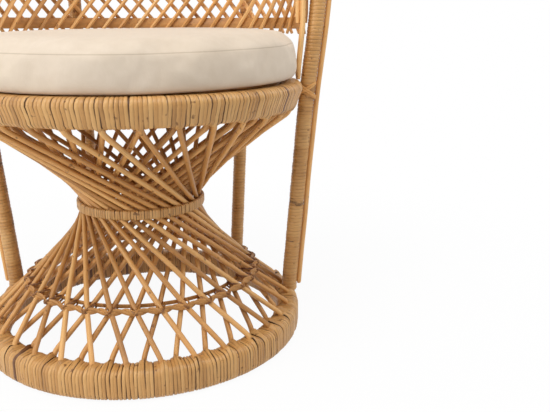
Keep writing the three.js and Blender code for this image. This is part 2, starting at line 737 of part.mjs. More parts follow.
const fanHoopOutset = -(reedLayer + latticeReedDiameter / 2 + fit + fanHoopDiameter / 2);
const fanHoopKnots = [];
for (let step = 0; step <= fanCaneSteps; step += 1) {
  const place = step / fanCaneSteps;
  const [x, height] = evenly(archEdge, archShare(place));
  const [endX, endHeight] = insideRim(rimShare(place));
  fanHoopKnots.push(atWidth((x + endX) / 2, (height + endHeight) / 2, fanHoopOutset));
}
piece(back, 'fan_hoop', cane(fanHoopKnots, fanHoopDiameter, thinSides), paleCane());

// The chair, with its origin under the middle of its outline
const chair = new THREE.Group();
chair.add(hourglass, seat, back);
const outline = new THREE.Box3().setFromObject(chair);
chair.position.y = -(outline.min.y + outline.max.y) / 2;

export default chair;
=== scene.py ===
# %% [markdown]
# # A peacock chair in rattan
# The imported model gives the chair's construction: where every reed, ring and pole runs, and what moves.
# This lesson dresses that frame. Reeds become smooth canes, rings and poles are wound with flat cane
# strips, and the cushion is stuffed by a short cloth simulation. Everything stays in metres and in place.

# %% The frame
import math
import random

import bmesh
import bpy
import numpy as np
from mathutils import Matrix, Vector, noise


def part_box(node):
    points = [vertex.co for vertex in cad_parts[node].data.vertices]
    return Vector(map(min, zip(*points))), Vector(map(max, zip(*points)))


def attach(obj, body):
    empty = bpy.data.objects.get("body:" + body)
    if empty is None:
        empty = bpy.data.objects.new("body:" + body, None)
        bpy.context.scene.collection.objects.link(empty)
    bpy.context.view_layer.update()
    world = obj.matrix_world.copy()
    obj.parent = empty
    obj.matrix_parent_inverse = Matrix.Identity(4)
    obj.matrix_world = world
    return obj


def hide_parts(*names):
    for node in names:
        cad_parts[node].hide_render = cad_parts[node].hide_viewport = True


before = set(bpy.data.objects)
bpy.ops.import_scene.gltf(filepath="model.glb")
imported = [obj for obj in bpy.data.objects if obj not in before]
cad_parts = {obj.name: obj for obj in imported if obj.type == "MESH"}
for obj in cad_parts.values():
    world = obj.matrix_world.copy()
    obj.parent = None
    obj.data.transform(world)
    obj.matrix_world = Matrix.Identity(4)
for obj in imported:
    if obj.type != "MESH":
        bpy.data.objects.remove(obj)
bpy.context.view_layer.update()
base_low, base_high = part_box("base_outer_hoop")
seat_low, seat_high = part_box("seat_outer_hoop")
axis_y = (base_low.y + base_high.y) / 2
print("frame loaded:", len(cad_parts), "nodes, middle axis at y =", round(axis_y, 4))

# %% [markdown]
# ## Where the photograph was taken from
# The camera stands a little right of the chair's front and looks slightly down. Its distance and its lens
# were fitted to the two rings, whose round edges show as ellipses, and the fitted numbers are used as they
# are.

# %% The camera
photo_width = 550
focal_pixels = 660.7
sensor_width = 36
camera_distance = 1.160
camera_height = 0.5367
camera_turn = math.radians(13)
looks_aside = 0.206
looks_down = 0.27

across_floor = Matrix.Rotation(camera_turn, 3, "Z")
camera_place = across_floor @ Vector((0, -camera_distance, camera_height)) + Vector((0, axis_y, 0))
ahead = Vector((math.sin(looks_aside) * math.cos(looks_down), math.cos(looks_aside) * math.cos(looks_down),
                -math.sin(looks_down)))
facing = (across_floor @ ahead).to_track_quat("-Z", "Y").to_euler()
bpy.ops.object.select_all(action="DESELECT")
bpy.ops.object.camera_add(location=camera_place, rotation=facing)
camera = bpy.context.object
camera.data.sensor_width = sensor_width
camera.data.lens = focal_pixels / photo_width * sensor_width
bpy.context.scene.camera = camera
print("camera with a lens of", round(camera.data.lens, 1), "mm")

# %% [markdown]
# ## Shader maths in plain expressions
# A finish is a small formula: streaks times a tone, darker at the edges. Node by node that is hard to read,
# so one class wraps a socket. Python's own operators on it add Math nodes, and one method adds any other.


# %% Wires
class Wire:
    """One output socket of a material's nodes."""

    def __init__(self, tree, socket=None):
        self.tree = tree
        self.socket = socket

    def make(self, kind, settings=None, inputs=None, output=0):
        """Adds a node, sets it up, feeds its sockets and gives back one of its outputs."""
        node = self.tree.nodes.new("ShaderNode" + kind)
        for name, value in (settings or {}).items():
            if name == "stops":
                self.fill_ramp(node.color_ramp, value)
            else:
                setattr(node, name, value)
        self.feed(node, inputs or {})
        return Wire(self.tree, node.outputs[output])

    def feed(self, node, inputs):
        for name, value in inputs.items():
            if isinstance(value, Wire):
                self.tree.links.new(value.socket, node.inputs[name])
            else:
                node.inputs[name].default_value = value

    @staticmethod
    def fill_ramp(ramp, stops):
        while len(ramp.elements) < len(stops):
            ramp.elements.new(1)
        for element, (place, colour) in zip(ramp.elements, stops):
            element.position = place
            element.color = (*colour, 1)

    def maths(self, operation, first, second=0.0):
        return self.make("Math", {"operation": operation}, {0: first, 1: second})

    def __add__(self, other):
        return self.maths("ADD", self, other)

    __radd__ = __add__

    def __sub__(self, other):
        return self.maths("SUBTRACT", self, other)

    def __rsub__(self, other):
        return self.maths("SUBTRACT", other, self)

    def __mul__(self, other):
        return self.maths("MULTIPLY", self, other)

    __rmul__ = __mul__

    def __pow__(self, other):
        return self.maths("POWER", self, other)

    def __abs__(self):
        return self.maths("ABSOLUTE", self)

    def between(self, low, high):
        """0 below low, 1 above high and smooth in between."""
        settings = {"interpolation_type": "SMOOTHSTEP"}
        return self.make("MapRange", settings, {0: self, 1: low, 2: high, 3: 0.0, 4: 1.0})

    def noise(self, vector, scale, detail):
        return self.make("TexNoise", None, {"Vector": vector, "Scale": scale, "Detail": detail})

    def mixed(self, first, second):
        """Mixes two colours by this value."""
        return self.make("Mix", {"data_type": "RGBA"}, {0: self, 6: first, 7: second}, output=2)

    def beside(self, output):
        """Another output of the same node."""
        return Wire(self.tree, self.socket.node.outputs[output])


def srgb(red, green, blue):
    """A colour as a picture shows it, turned into the linear values that shaders take."""
    shares = [value / 255 for value in (red, green, blue)]
    return tuple(share / 12.92 if share <= 0.04045 else ((share + 0.055) / 1.055) ** 2.4 for share in shares)


def new_material(name):
    made = bpy.data.materials.new(name)
    made.use_nodes = True
    return made, Wire(made.node_tree), made.node_tree.nodes["Principled BSDF"]


print("wires ready")

# %% [markdown]
# ## Rattan
# Rattan is a climbing palm. Its peeled reeds are golden brown with long fibres, and no two have quite the
# same tone. Flat cane, its shiny bark, is split off in strips for winding. Every cane here carries a number
# called tone, so one material serves hundreds of canes without making them alike. The map runs across a
# strip or round a reed in x, and along it in y, in metres, so the fibres follow every bend.


# %% Rattan finishes
def rattan(name, dark, middle, pale, gloss, edge_shade=0, variety=0.5):
    """A cane's finish from its darkest to its palest tone. Only flat strips get painted shade at their edges,
    as in the crease between turns.
    """
    made, wire, shader = new_material(name)
    tone = wire.make("Attribute", {"attribute_name": "tone"}, output="Fac")
    surface = wire.make("UVMap", {"uv_map": "UVMap"})
    across = wire.make("SeparateXYZ", None, {0: surface})
    along = across.beside(1)
    place = wire.make("TexCoord", output="Object")

    def streaks(across_scale, along_scale, tone_scale, scale, detail):
        """Noise drawn out along the cane, from another part of the noise for each tone."""
        scaled = {0: across * across_scale, 1: along * along_scale, 2: tone * tone_scale}
        return wire.noise(wire.make("CombineXYZ", None, scaled), scale, detail)

    fibre = streaks(9.0, 14.0, 61.0, 2.6, 3.0)
    streak = streaks(2.2, 5.0, 37.0, 1.4, 2.0)
    patch = wire.noise(place, 16.0, 3.0)
    fleck = wire.noise(place, 210.0, 2.0)
    level = tone * variety + streak * 0.34 + fibre * 0.26 + patch * 0.30 + fleck * 0.10 - variety / 2
    colour = wire.make("ValToRGB", {"stops": [(0.0, dark), (0.45, middle), (1.0, pale)]}, {0: level})
    stain = patch.between(0.58, 0.76) * fibre.between(0.42, 0.62) * 0.5
    colour = stain.mixed(colour, (*dark, 1))
    scar = wire.noise(place, 95.0, 1.0).between(0.69, 0.76) * 0.75
    colour = scar.mixed(colour, (*dark, 1))
    # Painted shade: near a strip's edges the colour goes towards near-black, as the crease between two turns
    # is shaded; noise breaks the line here and there.
    if edge_shade:
        broken_place = wire.make("CombineXYZ", None, {0: along * 55.0, 1: tone * 83.0, 2: 0.0})
        broken = wire.noise(broken_place, 1.0, 1.0).between(0.32, 0.58)
        edge = (abs(across - 0.5) * 2.0) ** 6.0 * broken * edge_shade
        colour = edge.mixed(colour, (*(value * 0.30 for value in dark), 1))
    grain = fibre * 0.7 + fleck * 0.3
    bump = wire.make("Bump", None, {"Strength": 0.35, "Distance": 0.0006, "Height": grain})
    rough = fibre * 0.22 + (0.90 - gloss)
    wire.feed(shader, {"Base Color": colour, "Roughness": rough, "Normal": bump})
    shader.inputs["Specular IOR Level"].default_value = 0.42
    shader.inputs["Coat Weight"].default_value = 0.10
    shader.inputs["Coat Roughness"].default_value = 0.32
    return made


strip_finish = rattan("wound_cane", srgb(108, 66, 28), srgb(198, 147, 85), srgb(228, 184, 121),
                      gloss=0.60, edge_shade=0.85, variety=0.42)
reed_finish = rattan("bare_reed", srgb(118, 71, 28), srgb(210, 153, 86), srgb(240, 192, 124), gloss=0.55)
cane_finish = rattan("thin_cane", srgb(138, 84, 36), srgb(228, 172, 104), srgb(246, 206, 144), gloss=0.55)
# The cores under the winding are much darker than rattan: painted shade for the gaps between turns.
painted_shade_core_finish = rattan("dark_core_painted_shade", srgb(66, 38, 16), srgb(98, 60, 28), srgb(122, 78, 40), gloss=0.35)
print("finishes:", strip_finish.name, reed_finish.name, cane_finish.name, painted_shade_core_finish.name)

# %% [markdown]
# ## Handling pieces
# A few steps come back for every piece: select it alone, apply a modifier, mend its faces, give it a finish
# and hand it to the frame. Each is a small function here, so that later cells speak of canes and rings only.

# %% Piece tools
smooth_angle = math.radians(50)
weld = 1e-6


def only(piece):
    """Selects one piece and nothing else."""
    bpy.ops.object.select_all(action="DESELECT")
    piece.select_set(True)
    bpy.context.view_layer.objects.active = piece


def mended(piece, welded=True):
    """Welds doubled points, turns all faces outwards and shades a piece smooth between its sharp edges."""
    only(piece)
    bpy.ops.object.mode_set(mode="EDIT")
    bpy.ops.mesh.select_all(action="SELECT")
    if welded:
        bpy.ops.mesh.remove_doubles(threshold=weld)
    bpy.ops.mesh.normals_make_consistent(inside=False)
    bpy.ops.object.mode_set(mode="OBJECT")
    bpy.ops.object.shade_smooth_by_angle(angle=smooth_angle)
    return piece


def shape_by(piece, kind, **settings):
    """Adds a modifier to a piece, sets it up and applies it."""
    only(piece)
    modifier = piece.modifiers.new(kind.lower(), kind)
    for name, value in settings.items():
        setattr(modifier, name, value)
    bpy.ops.object.modifier_apply(modifier=modifier.name)


def wear(piece, finish):
    """Gives a piece one finish and no other."""
    piece.data.materials.clear()
    piece.data.materials.append(finish)


def places_of(piece):
    """All points of a piece as rows of three numbers."""
    values = np.zeros(len(piece.data.vertices) * 3, np.float32)
    piece.data.vertices.foreach_get("co", values)
    return values.reshape(-1, 3)


def set_places(piece, values):
    piece.data.vertices.foreach_set("co", values.astype(np.float32).ravel())
    piece.data.update()


def map_of(piece):
    return piece.data.uv_layers.get("UVMap") or piece.data.uv_layers.new(name="UVMap")


def joined(name, pieces):
    bpy.ops.object.select_all(action="DESELECT")
    for piece in pieces:
        piece.select_set(True)
    bpy.context.view_layer.objects.active = pieces[0]
    bpy.ops.object.join()
    pieces[0].name = name
    return pieces[0]


def settle(piece, slot, *nodes, body="chair_frame"):
    """Puts a finished piece on its body, in the place of the frame's own nodes."""
    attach(piece, body)
    if nodes:
        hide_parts(*nodes)
    print(piece.name, "has", len(piece.data.polygons), "faces and stands for", len(nodes), "nodes")


print("piece tools ready")

# %% [markdown]
# ## Canes drawn as lines
# A reed could be pulled from a cylinder, but a bent cane is easier to draw: a line through its bends, given
# thickness by a round bevel and then turned into a mesh. One helper does that for a whole family of canes.
# A second one numbers the loose canes of a mesh, which gives each its own tone.

# %% Cane tools
luck = random.Random(32)
noise.seed_set(32)  # without a seed this noise starts from the clock, and the canes would waver anew each run
cane_end = 0.72


def run_length(path):
    return sum((after - before).length for before, after in zip(path, path[1:]))


def draw_line(name, paths, closed=False, thickness=None):
    """A curve with one straight-edged line for each path, and a share of the thickness at each point."""
    bpy.ops.object.select_all(action="DESELECT")
    bpy.ops.curve.primitive_nurbs_path_add()
    line = bpy.context.object
    line.name = name
    line.data.splines.clear()
    line.data.dimensions = "3D"
    for path in paths:
        spline = line.data.splines.new("POLY")
        spline.points.add(len(path) - 1)
        spline.use_cyclic_u = closed
        for count, (point, place) in enumerate(zip(spline.points, path)):
            point.co = (*place, 1)
            point.radius = thickness(count / (len(path) - 1)) if thickness else 1
    return line


def stretch_map(piece, length):
    """Makes the map's second number a distance in metres."""
    layer = piece.data.uv_layers["UVMap"]
    values = np.zeros(len(layer.data) * 2, np.float32)
    layer.data.foreach_get("uv", values)
    values[1::2] *= length
    layer.data.foreach_set("uv", values)


def tone_each(piece, low, high):
    """Gives every loose cane of a piece a tone of its own."""
    shape = bmesh.new()
    shape.from_mesh(piece.data)
    layer = shape.verts.layers.float.new("tone")
    waiting = set(shape.verts)
    for first in shape.verts:
        if first not in waiting:
            continue
        waiting.discard(first)
        tone = luck.uniform(low, high)
        reached = [first]
        while reached:
            vertex = reached.pop()
            vertex[layer] = tone
            for edge in vertex.link_edges:
                other = edge.other_vert(vertex)
                if other in waiting:
                    waiting.discard(other)
                    reached.append(other)
    shape.to_mesh(piece.data)
    shape.free()


def finished(line, paths, closed, finish, tones):
    """Turns a thick line into a mesh with its map, its tones and its finish."""
    line.data.use_fill_caps = not closed
    only(line)
    bpy.ops.object.convert(target="MESH")
    piece = mended(line)
    stretch_map(piece, sum(run_length(path) for path in paths) / len(paths))
    tone_each(piece, *tones)
    wear(piece, finish)
    return piece


def canes(name, paths, diameter, finish, corners=2, closed=False, tones=(0.0, 1.0)):
    """A family of round canes along paths, with ends that are rounded over a little."""
    def ends(share):
        return cane_end if share in (0, 1) and not closed else 1

    line = draw_line(name, paths, closed, ends)
    line.data.bevel_depth = diameter / 2
    line.data.bevel_resolution = corners
    return finished(line, paths, closed, finish, tones)


def flat_canes(name, paths, width, thickness, finish, closed=False, tones=(0.0, 1.0)):
    """Flat strips along paths, standing on edge, with rounded edges."""
    line = draw_line(name, paths, closed)
    line.data.twist_mode = "Z_UP"
    line.data.extrude = (width - thickness) / 2
    line.data.bevel_depth = thickness / 2
    line.data.bevel_resolution = 1
    return finished(line, paths, closed, finish, tones)


print("cane tools ready")

# %% [markdown]
# ## Paths
# A cane's path starts as a few knots where it bends. Real cane bends softly and is never quite straight, so
# the bends are rounded, long runs are divided, and the points between are moved by a hair.


# %% Path tools
def rounded(knots, reach, steps=4):
    """A path through its knots with every bend rounded over a short reach."""
    path = [knots[0]]
    for before, here, after in zip(knots, knots[1:], knots[2:]):
        start = here + (before - here).normalized() * min(reach, (before - here).length / 2)
        end = here + (after - here).normalized() * min(reach, (after - here).length / 2)
        for step in range(steps + 1):
            share = step / steps
            path.append(start.lerp(here, share).lerp(here.lerp(end, share), share))
    path.append(knots[-1])
    return path


def divided(path, spacing):
    """The same path with points no further apart than the spacing."""
    finer = [path[0]]
    for before, after in zip(path, path[1:]):
        parts = max(1, math.ceil((after - before).length / spacing))
        finer += [before.lerp(after, part / parts) for part in range(1, parts + 1)]
    return finer


def wavered(path, amount, length):
    """Bends a path by a hair, as grown cane is never quite straight. Its ends stay."""
    offset = Vector((luck.uniform(0, 99), luck.uniform(0, 99), luck.uniform(0, 99)))
    moved = []
    for count, point in enumerate(path):
        hold = math.sin(math.pi * count / (len(path) - 1))
        moved.append(point + noise.noise_vector(point / length + offset) * amount * hold)
    return moved


print("path tools ready")

# %% [markdown]
# ## The hourglass of reeds
# Two families of straight reeds run from the base ring to the seat ring. Each reed leans sideways as it
# rises, so together they draw in to a waist: straight lines that make an hourglass. The outer family leans
# one way, the inner one the other. Every reed is one cane with soft bends at the rings and the waist. A
# turned surface would be quicker, but it would have no gaps to look through.

# %% Reeds
reed_diameter = 0.0085
reed_count = 32
reed_twist = math.radians(63.5)
reed_step = 2 * math.pi / reed_count
outer_start = reed_step / 2
base_reed_radius = 0.26385
seat_reed_radius = 0.26784
waist_reed_radius = 0.099
waist_height = 0.236
fit = 0.0003
deck_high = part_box("seat_deck")[1]
inner_inset = seat_reed_radius - reed_diameter / 2 - deck_high.x - fit
mid_low, mid_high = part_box("mid_hoop_outer")
mid_height = (mid_low.z + mid_high.z) / 2
mid_bow = math.radians(1.2)
ring_bend = 0.002
bend_reach = 0.014
reed_tuck = 0.03
reed_waver = 0.0012
fine_spacing = 0.02


def around(radius, angle, height):
    """A point by its distance from the middle axis, its angle from the front towards +X and its height."""
    return Vector((radius * math.sin(angle), axis_y - radius * math.cos(angle), height))


def radius_of(point):
    return math.hypot(point.x, point.y - axis_y)


def angle_of(point):
    return math.atan2(point.x, axis_y - point.y)


def reed_knots(angle, twist, inset):
    """The bends of a reed: at the base ring, at the tied crossing, at the waist and at the seat ring."""
    seat_angle = angle - 2 * twist
    low = around(base_reed_radius - inset, angle, base_high.z + ring_bend)
    waist = around(waist_reed_radius - inset, angle - twist, waist_height)
    straight = low.lerp(waist, (mid_height - low.z) / (waist.z - low.z))
    tied = around(radius_of(straight), angle_of(straight) - math.copysign(mid_bow, twist), mid_height)
    return [
        around(base_reed_radius - inset, angle, base_high.z - reed_tuck),
        low,
        tied,
        waist,
        around(seat_reed_radius - inset, seat_angle, seat_low.z - ring_bend),
        around(seat_reed_radius - inset, seat_angle, seat_low.z + reed_tuck),
    ]


def at_mid(knots):
    return knots[2]


def reed_path(angle, twist, inset):
    path = divided(rounded(reed_knots(angle, twist, inset), bend_reach), fine_spacing)
    return wavered(path, reed_waver, length=0.07)


outer_turn = angle_of(at_mid(reed_knots(0, reed_twist, 0)))
inner_turn = angle_of(at_mid(reed_knots(0, -reed_twist, inner_inset)))
inner_start = outer_start + outer_turn - inner_turn
outer_angles = [outer_start + count * reed_step for count in range(reed_count)]
inner_angles = [inner_start + count * reed_step for count in range(reed_count)]
outer_reeds = canes("outer_reeds", [reed_path(angle, reed_twist, 0) for angle in outer_angles],
                    reed_diameter, reed_finish)
settle(outer_reeds, "bare_reed", *(f"outer_reed_{count + 1:02d}" for count in range(reed_count)))
inner_reeds = canes("inner_reeds", [reed_path(angle, -reed_twist, inner_inset) for angle in inner_angles],
                    reed_diameter, reed_finish, tones=(0.0, 0.8))
settle(inner_reeds, "bare_reed", *(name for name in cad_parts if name.startswith("inner_")))

# %% [markdown]
# ## The wound rings
# The base ring and the seat ring clamp the reed ends between hoops, and flat cane is wound over the lot, turn
# beside turn. One turn is modelled as a belt: a loop in the shape of the ring's section, extruded sideways
# three times for its edge, its flat and its other edge, and closed underneath. A spin copies it round the
# ring. A smooth ring with a striped bump would be lighter, but its outline would be too clean.


# %% Belts
edge_share = 0.2


def rounded_section(inside, outside, low, high, corner, steps=3, tuck=0.0):
    """Points round a ring's section, from the inner lower corner. A tuck draws in the outer lower corner."""
    corners = [(inside + corner, low + corner, 180), (outside - corner - tuck, low + corner, 270),
               (outside - corner, high - corner, 0), (inside + corner, high - corner, 90)]
    points = []
    for radius, height, start in corners:
        for step in range(steps + 1):
            turn = math.radians(start + 90 * step / steps)
            points.append((radius + corner * math.cos(turn), height + corner * math.sin(turn)))
    return points


def span_of(section):
    """The middle and the size of a section, each as a radius and a height."""
    radii, heights = zip(*section)
    middle = ((min(radii) + max(radii)) / 2, (min(heights) + max(heights)) / 2)
    return middle, (max(radii) - min(radii), max(heights) - min(heights))


def loop_of(name, count):
    """A plain loop of edges, to be laid out point by point."""
    bpy.ops.object.select_all(action="DESELECT")
    bpy.ops.mesh.primitive_circle_add(vertices=count, radius=1)
    bpy.context.object.name = name
    return bpy.context.object


def spin(piece, steps, angle, copies=False):
    """Turns a piece round the middle axis, drawing out a surface or leaving copies."""
    only(piece)
    bpy.ops.object.mode_set(mode="EDIT")
    bpy.ops.mesh.select_all(action="SELECT")
    bpy.ops.mesh.spin(steps=steps, dupli=copies, angle=angle, center=(0, axis_y, 0), axis=(0, 0, 1))
    bpy.ops.object.mode_set(mode="OBJECT")


def belt(name, section, width, thickness):
    """One turn of winding at the front of the ring."""
    turn = loop_of(name, len(section))
    for vertex, (radius, height) in zip(turn.data.vertices, section):
        vertex.co = (-width / 2, axis_y - radius, height)
    (middle_radius, middle_height), (depth, tall) = span_of(section)
    middle = (0, axis_y - middle_radius, middle_height)
    swell = (1, 1 + 2 * thickness / depth, 1 + 2 * thickness / tall)
    shrink = tuple(1 / value for value in swell)
    edge = edge_share * width
    bpy.ops.object.mode_set(mode="EDIT")
    bpy.ops.mesh.select_all(action="SELECT")
    for move, scale in ((edge, swell), (width - 2 * edge, (1, 1, 1)), (edge, shrink)):
        bpy.ops.mesh.extrude_edges_move(TRANSFORM_OT_translate={"value": (move, 0, 0)})
        bpy.ops.transform.resize(value=scale, center_override=middle)
    bpy.ops.mesh.select_mode(type="EDGE")
    bpy.ops.mesh.select_all(action="DESELECT")
    bpy.ops.mesh.select_non_manifold(extend=False, use_wire=False, use_multi_face=False,
                                     use_non_contiguous=False, use_verts=False)
    bpy.ops.mesh.bridge_edge_loops()
    bpy.ops.mesh.select_all(action="SELECT")
    bpy.ops.mesh.normals_make_consistent(inside=False)
    bpy.ops.object.mode_set(mode="OBJECT")
    return turn


def map_belt(turn, section, width):
    """Lays the map along the winding: x across the strip, y along it."""
    middle_radius, middle_height = span_of(section)[0]
    girth = sum(math.dist(before, after) for before, after in zip(section, section[1:] + section[:1]))
    layer = map_of(turn)
    for face in turn.data.polygons:
        corners = [turn.data.vertices[vertex].co for vertex in face.vertices]
        angles = [math.atan2(corner.z - middle_height, axis_y - corner.y - middle_radius)
                  for corner in corners]
        closing = max(angles) - min(angles) > math.pi
        for loop, corner, angle in zip(face.loop_indices, corners, angles):
            wrapped = angle + 2 * math.pi if closing and angle < 0 else angle
            layer.data[loop].uv = (corner.x / width + 0.5, wrapped / (2 * math.pi) * girth)


print("belt tools ready")

# %% [markdown]
# ## Turns that differ
# No two turns of real winding lie alike: strips differ in width and tone, slant, bow and ride up over the
# reeds beneath. The copies of the belt are moved as arrays of points, since hundreds of turns are too many to
# move by hand.

# %% Winding tools
strip_spread = 0.07
turn_spread = 0.06
radius_spread = 0.0002
dark_chance = 0.012
dark_tone = -0.9
tone_lean = (2.2, 1.8)
core_steps = 96


def nudged(places, chance, humps, sway):
    """Makes every turn wider or narrower, slants, bows and shifts it, and lifts it over the reeds."""
    turns = len(places)
    pitch = 2 * math.pi / turns
    x, y, z = places[..., 0], axis_y - places[..., 1], places[..., 2]
    radius, angle = np.hypot(x, y), np.arctan2(x, y)
    middle = (z.min() + z.max()) / 2

    def each(spread):
        return chance.normal(0, spread, (turns, 1))

    centre = np.arctan2(x.mean(axis=1), y.mean(axis=1))[:, None]
    beside = (angle - centre + math.pi) % (2 * math.pi) - math.pi
    angle = centre + beside * (1 + each(strip_spread))
    slant = each(sway) * pitch / (z.max() - z.min())
    bow = each(sway / 2) * pitch / (z.max() - middle) ** 2
    angle = angle + each(turn_spread) * pitch + slant * (z - middle) + bow * (z - middle) ** 2
    radius = radius + each(radius_spread)
    if humps:
        z = z + humps(radius, angle, z)
    return np.stack([radius * np.sin(angle), axis_y - radius * np.cos(angle), z], axis=-1)


def wind_ring(name, section, turns, width, thickness, humps, sway):
    """Winds a ring: one belt, copied round the middle axis, each copy nudged and toned by itself."""
    winding = belt(name, section, width, thickness)
    map_belt(winding, section, width)
    widest = max(radius for radius, height in section)
    for vertex in winding.data.vertices:
        vertex.co.x *= (axis_y - vertex.co.y) / widest
    belt_points = len(winding.data.vertices)
    spin(winding, turns - 1, 2 * math.pi * (turns - 1) / turns, copies=True)
    chance = np.random.default_rng(turns)
    set_places(winding, nudged(places_of(winding).reshape(turns, belt_points, 3), chance, humps, sway))
    tones = np.where(chance.random(turns) < dark_chance, dark_tone, chance.beta(*tone_lean, turns))
    tone = winding.data.attributes.new("tone", "FLOAT", "POINT")
    tone.data.foreach_set("value", np.repeat(tones, belt_points).astype(np.float32))
    wear(winding, strip_finish)
    only(winding)
    bpy.ops.object.shade_smooth_by_angle(angle=smooth_angle)
    return winding


def ring_core(name, section, inset):
    """The hoop under the winding, spun from the ring's section, dark to paint the shade in the gaps between
    turns.
    """
    middle_radius, middle_height = span_of(section)[0]
    core = loop_of(name, len(section))
    for vertex, (radius, height) in zip(core.data.vertices, section):
        inwards = Vector((middle_radius - radius, middle_height - height)).normalized() * inset
        vertex.co = (0, axis_y - radius - inwards.x, height + inwards.y)
    spin(core, core_steps, 2 * math.pi)
    map_of(core)
    wear(core, painted_shade_core_finish)
    return mended(core)


def wound_ring(name, node, section, turns, width, thickness, core_inset, humps=None, sway=0.14):
    """A ring of winding over its core, in the place of a hoop of the frame."""
    winding = wind_ring(name + "_winding", section, turns, width, thickness, humps, sway)
    core = ring_core(name + "_core", section, core_inset)
    settle(joined(name, [winding, core]), "wrapped_cane", node)


def lift_over_reeds(reeds, edge, height, reach, depth):
    """How far the winding rises, or sinks with a negative height, over the reeds at a ring's edge."""
    def lift(radius, angle, z):
        total = np.zeros_like(z)
        for reed_radius, reed_angles in reeds:
            for reed_angle in reed_angles:
                aside = np.abs((angle - reed_angle + math.pi) % (2 * math.pi) - math.pi) * reed_radius
                near = np.clip(1 - aside / reach, 0, 1) ** 2 * np.exp(-((radius - reed_radius) / reach) ** 2)
                total = np.maximum(total, near)
        close = np.clip(1 - np.abs(z - edge) / depth, 0, 1)
        return height * total * close
    return lift


print("winding tools for rings ready")

# %% [markdown]
# ## Three rings
# The base ring stands on the floor, the seat ring carries the deck, and a thin ring ties the waist. The first
# two are tall and bulge over the reed ends. One function winds all three, from a section and a number of
# turns.

# %% The three rings
winding_thickness = 0.0009
reed_cover = reed_diameter / 2 + 0.001
base_section = rounded_section(base_reed_radius - inner_inset - reed_cover, base_high.x - winding_thickness,
                               winding_thickness, base_high.z - winding_thickness, corner=0.011)
reeds_at_base = [(base_reed_radius, outer_angles), (base_reed_radius - inner_inset, inner_angles)]
base_humps = lift_over_reeds(reeds_at_base, base_high.z, height=0.009, reach=0.013, depth=0.016)
wound_ring("base_ring", "base_outer_hoop", base_section, turns=306, width=0.00585,
           thickness=winding_thickness, core_inset=0.0004, humps=base_humps)

seat_section = rounded_section(seat_reed_radius - inner_inset - reed_cover, seat_high.x - winding_thickness,
                               seat_low.z + winding_thickness, seat_high.z - winding_thickness,
                               corner=0.012, tuck=0.007)
seat_outer_angles = [angle - 2 * reed_twist for angle in outer_angles]
seat_inner_angles = [angle + 2 * reed_twist for angle in inner_angles]
reeds_at_seat = [(seat_reed_radius, seat_outer_angles), (seat_reed_radius - inner_inset, seat_inner_angles)]
seat_humps = lift_over_reeds(reeds_at_seat, seat_low.z, height=-0.005, reach=0.012, depth=0.016)
wound_ring("seat_ring", "seat_outer_hoop", seat_section, turns=280, width=0.00648,
           thickness=winding_thickness, core_inset=0.0004, humps=seat_humps)

waist_low, waist_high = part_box("waist_hoop")
waist_winding = 0.0006
waist_section = rounded_section(waist_high.x - 0.0065, waist_high.x - waist_winding,
                                waist_low.z + waist_winding, waist_high.z - waist_winding, corner=0.0029)
wound_ring("waist_ring", "waist_hoop", waist_section, turns=158, width=0.0044,
           thickness=waist_winding, core_inset=0.0003, sway=0.10)

# %% [markdown]
# ## The twined strands
# Where the two families cross, halfway down, they are tied. A pair of flat strands runs round the outside.
# The two change places, one up and one down, in front of every crossing and again between crossings. A third
# strand runs level round the inside, and two thin loops lash every crossing with an X. They are drawn as
# lines, the strands with a flat section that stands on edge, because a strand bends the same way all round.

# %% Mid strands
outer_mid = at_mid(reed_knots(outer_start, reed_twist, 0))
inner_mid = at_mid(reed_knots(outer_start, -reed_twist, inner_inset))
strand_width = 0.0068
strand_thickness = 0.0024
strand_steps = 12
strand_rise = 0.0024
strand_dip = 0.0045
crossing_angle = angle_of(outer_mid)


def strand_path(sign, lift):
    """A strand that crosses its partner in front of every tied crossing, where it stands furthest out."""
    path = []
    front = radius_of(outer_mid) + (reed_diameter + strand_thickness) / 2
    for step in range(reed_count * strand_steps):
        phase = 2 * math.pi * step / strand_steps
        dip = strand_dip * (1 - math.cos(phase)) / 2
        angle = crossing_angle + step * reed_step / strand_steps
        radius = front + lift * math.cos(phase) - dip
        path.append(around(radius, angle, mid_height + sign * strand_rise * math.sin(phase)))
    return path


lash_diameter = 0.0032
lash_reach = 0.0085
lash_points = 14
lash_leans = (math.radians(42), math.radians(-36))


def lash_path(number, lean_angle):
    """A loop of thin cane round one tied crossing, leaning to one side."""
    outside = radius_of(outer_mid) + reed_diameter / 2 + 2 * strand_thickness + lash_diameter / 2
    inside = radius_of(inner_mid) - reed_diameter / 2 - strand_thickness - lash_diameter / 2
    path = []
    for step in range(lash_points):
        turn = 2 * math.pi * step / lash_points
        radius = (outside + inside) / 2 + (outside - inside) / 2 * math.sin(turn)
        aside = lash_reach * math.cos(turn) * math.cos(lean_angle)
        rise = lash_reach * math.cos(turn) * math.sin(lean_angle)
        path.append(around(radius, crossing_angle + number * reed_step + aside / radius, mid_height + rise))
    return path


strand_paths = [strand_path(1, 0), strand_path(-1, strand_thickness)]
strands = flat_canes("mid_strands", strand_paths, strand_width, strand_thickness, reed_finish,
                     closed=True, tones=(0.0, 0.2))
lash_paths = [lash_path(number, lean_angle) for number in range(reed_count) for lean_angle in lash_leans]
lashes = canes("mid_lashes", lash_paths, lash_diameter, reed_finish, corners=1,
               closed=True, tones=(-0.5, 0.0))
settle(joined("mid_strands", [strands, lashes]), "pale_cane", "mid_hoop_outer")

inside_radius = radius_of(inner_mid) - (reed_diameter + strand_thickness) / 2
inside_path = [around(inside_radius, step * reed_step / 4, mid_height) for step in range(reed_count * 4)]
inside_strand = flat_canes("mid_inside_strand", [inside_path], strand_width, strand_thickness, reed_finish,
                           closed=True, tones=(0.2, 0.4))
settle(inside_strand, "pale_cane", "mid_hoop_inner")

# %% [markdown]
# ## The seat deck
# Under the cushion a hoop with slats and two bearers carries the load. It shows only from below or when the
# cushion is lifted. A plate would do for that, but the same canes as in the rest of the chair cost little.

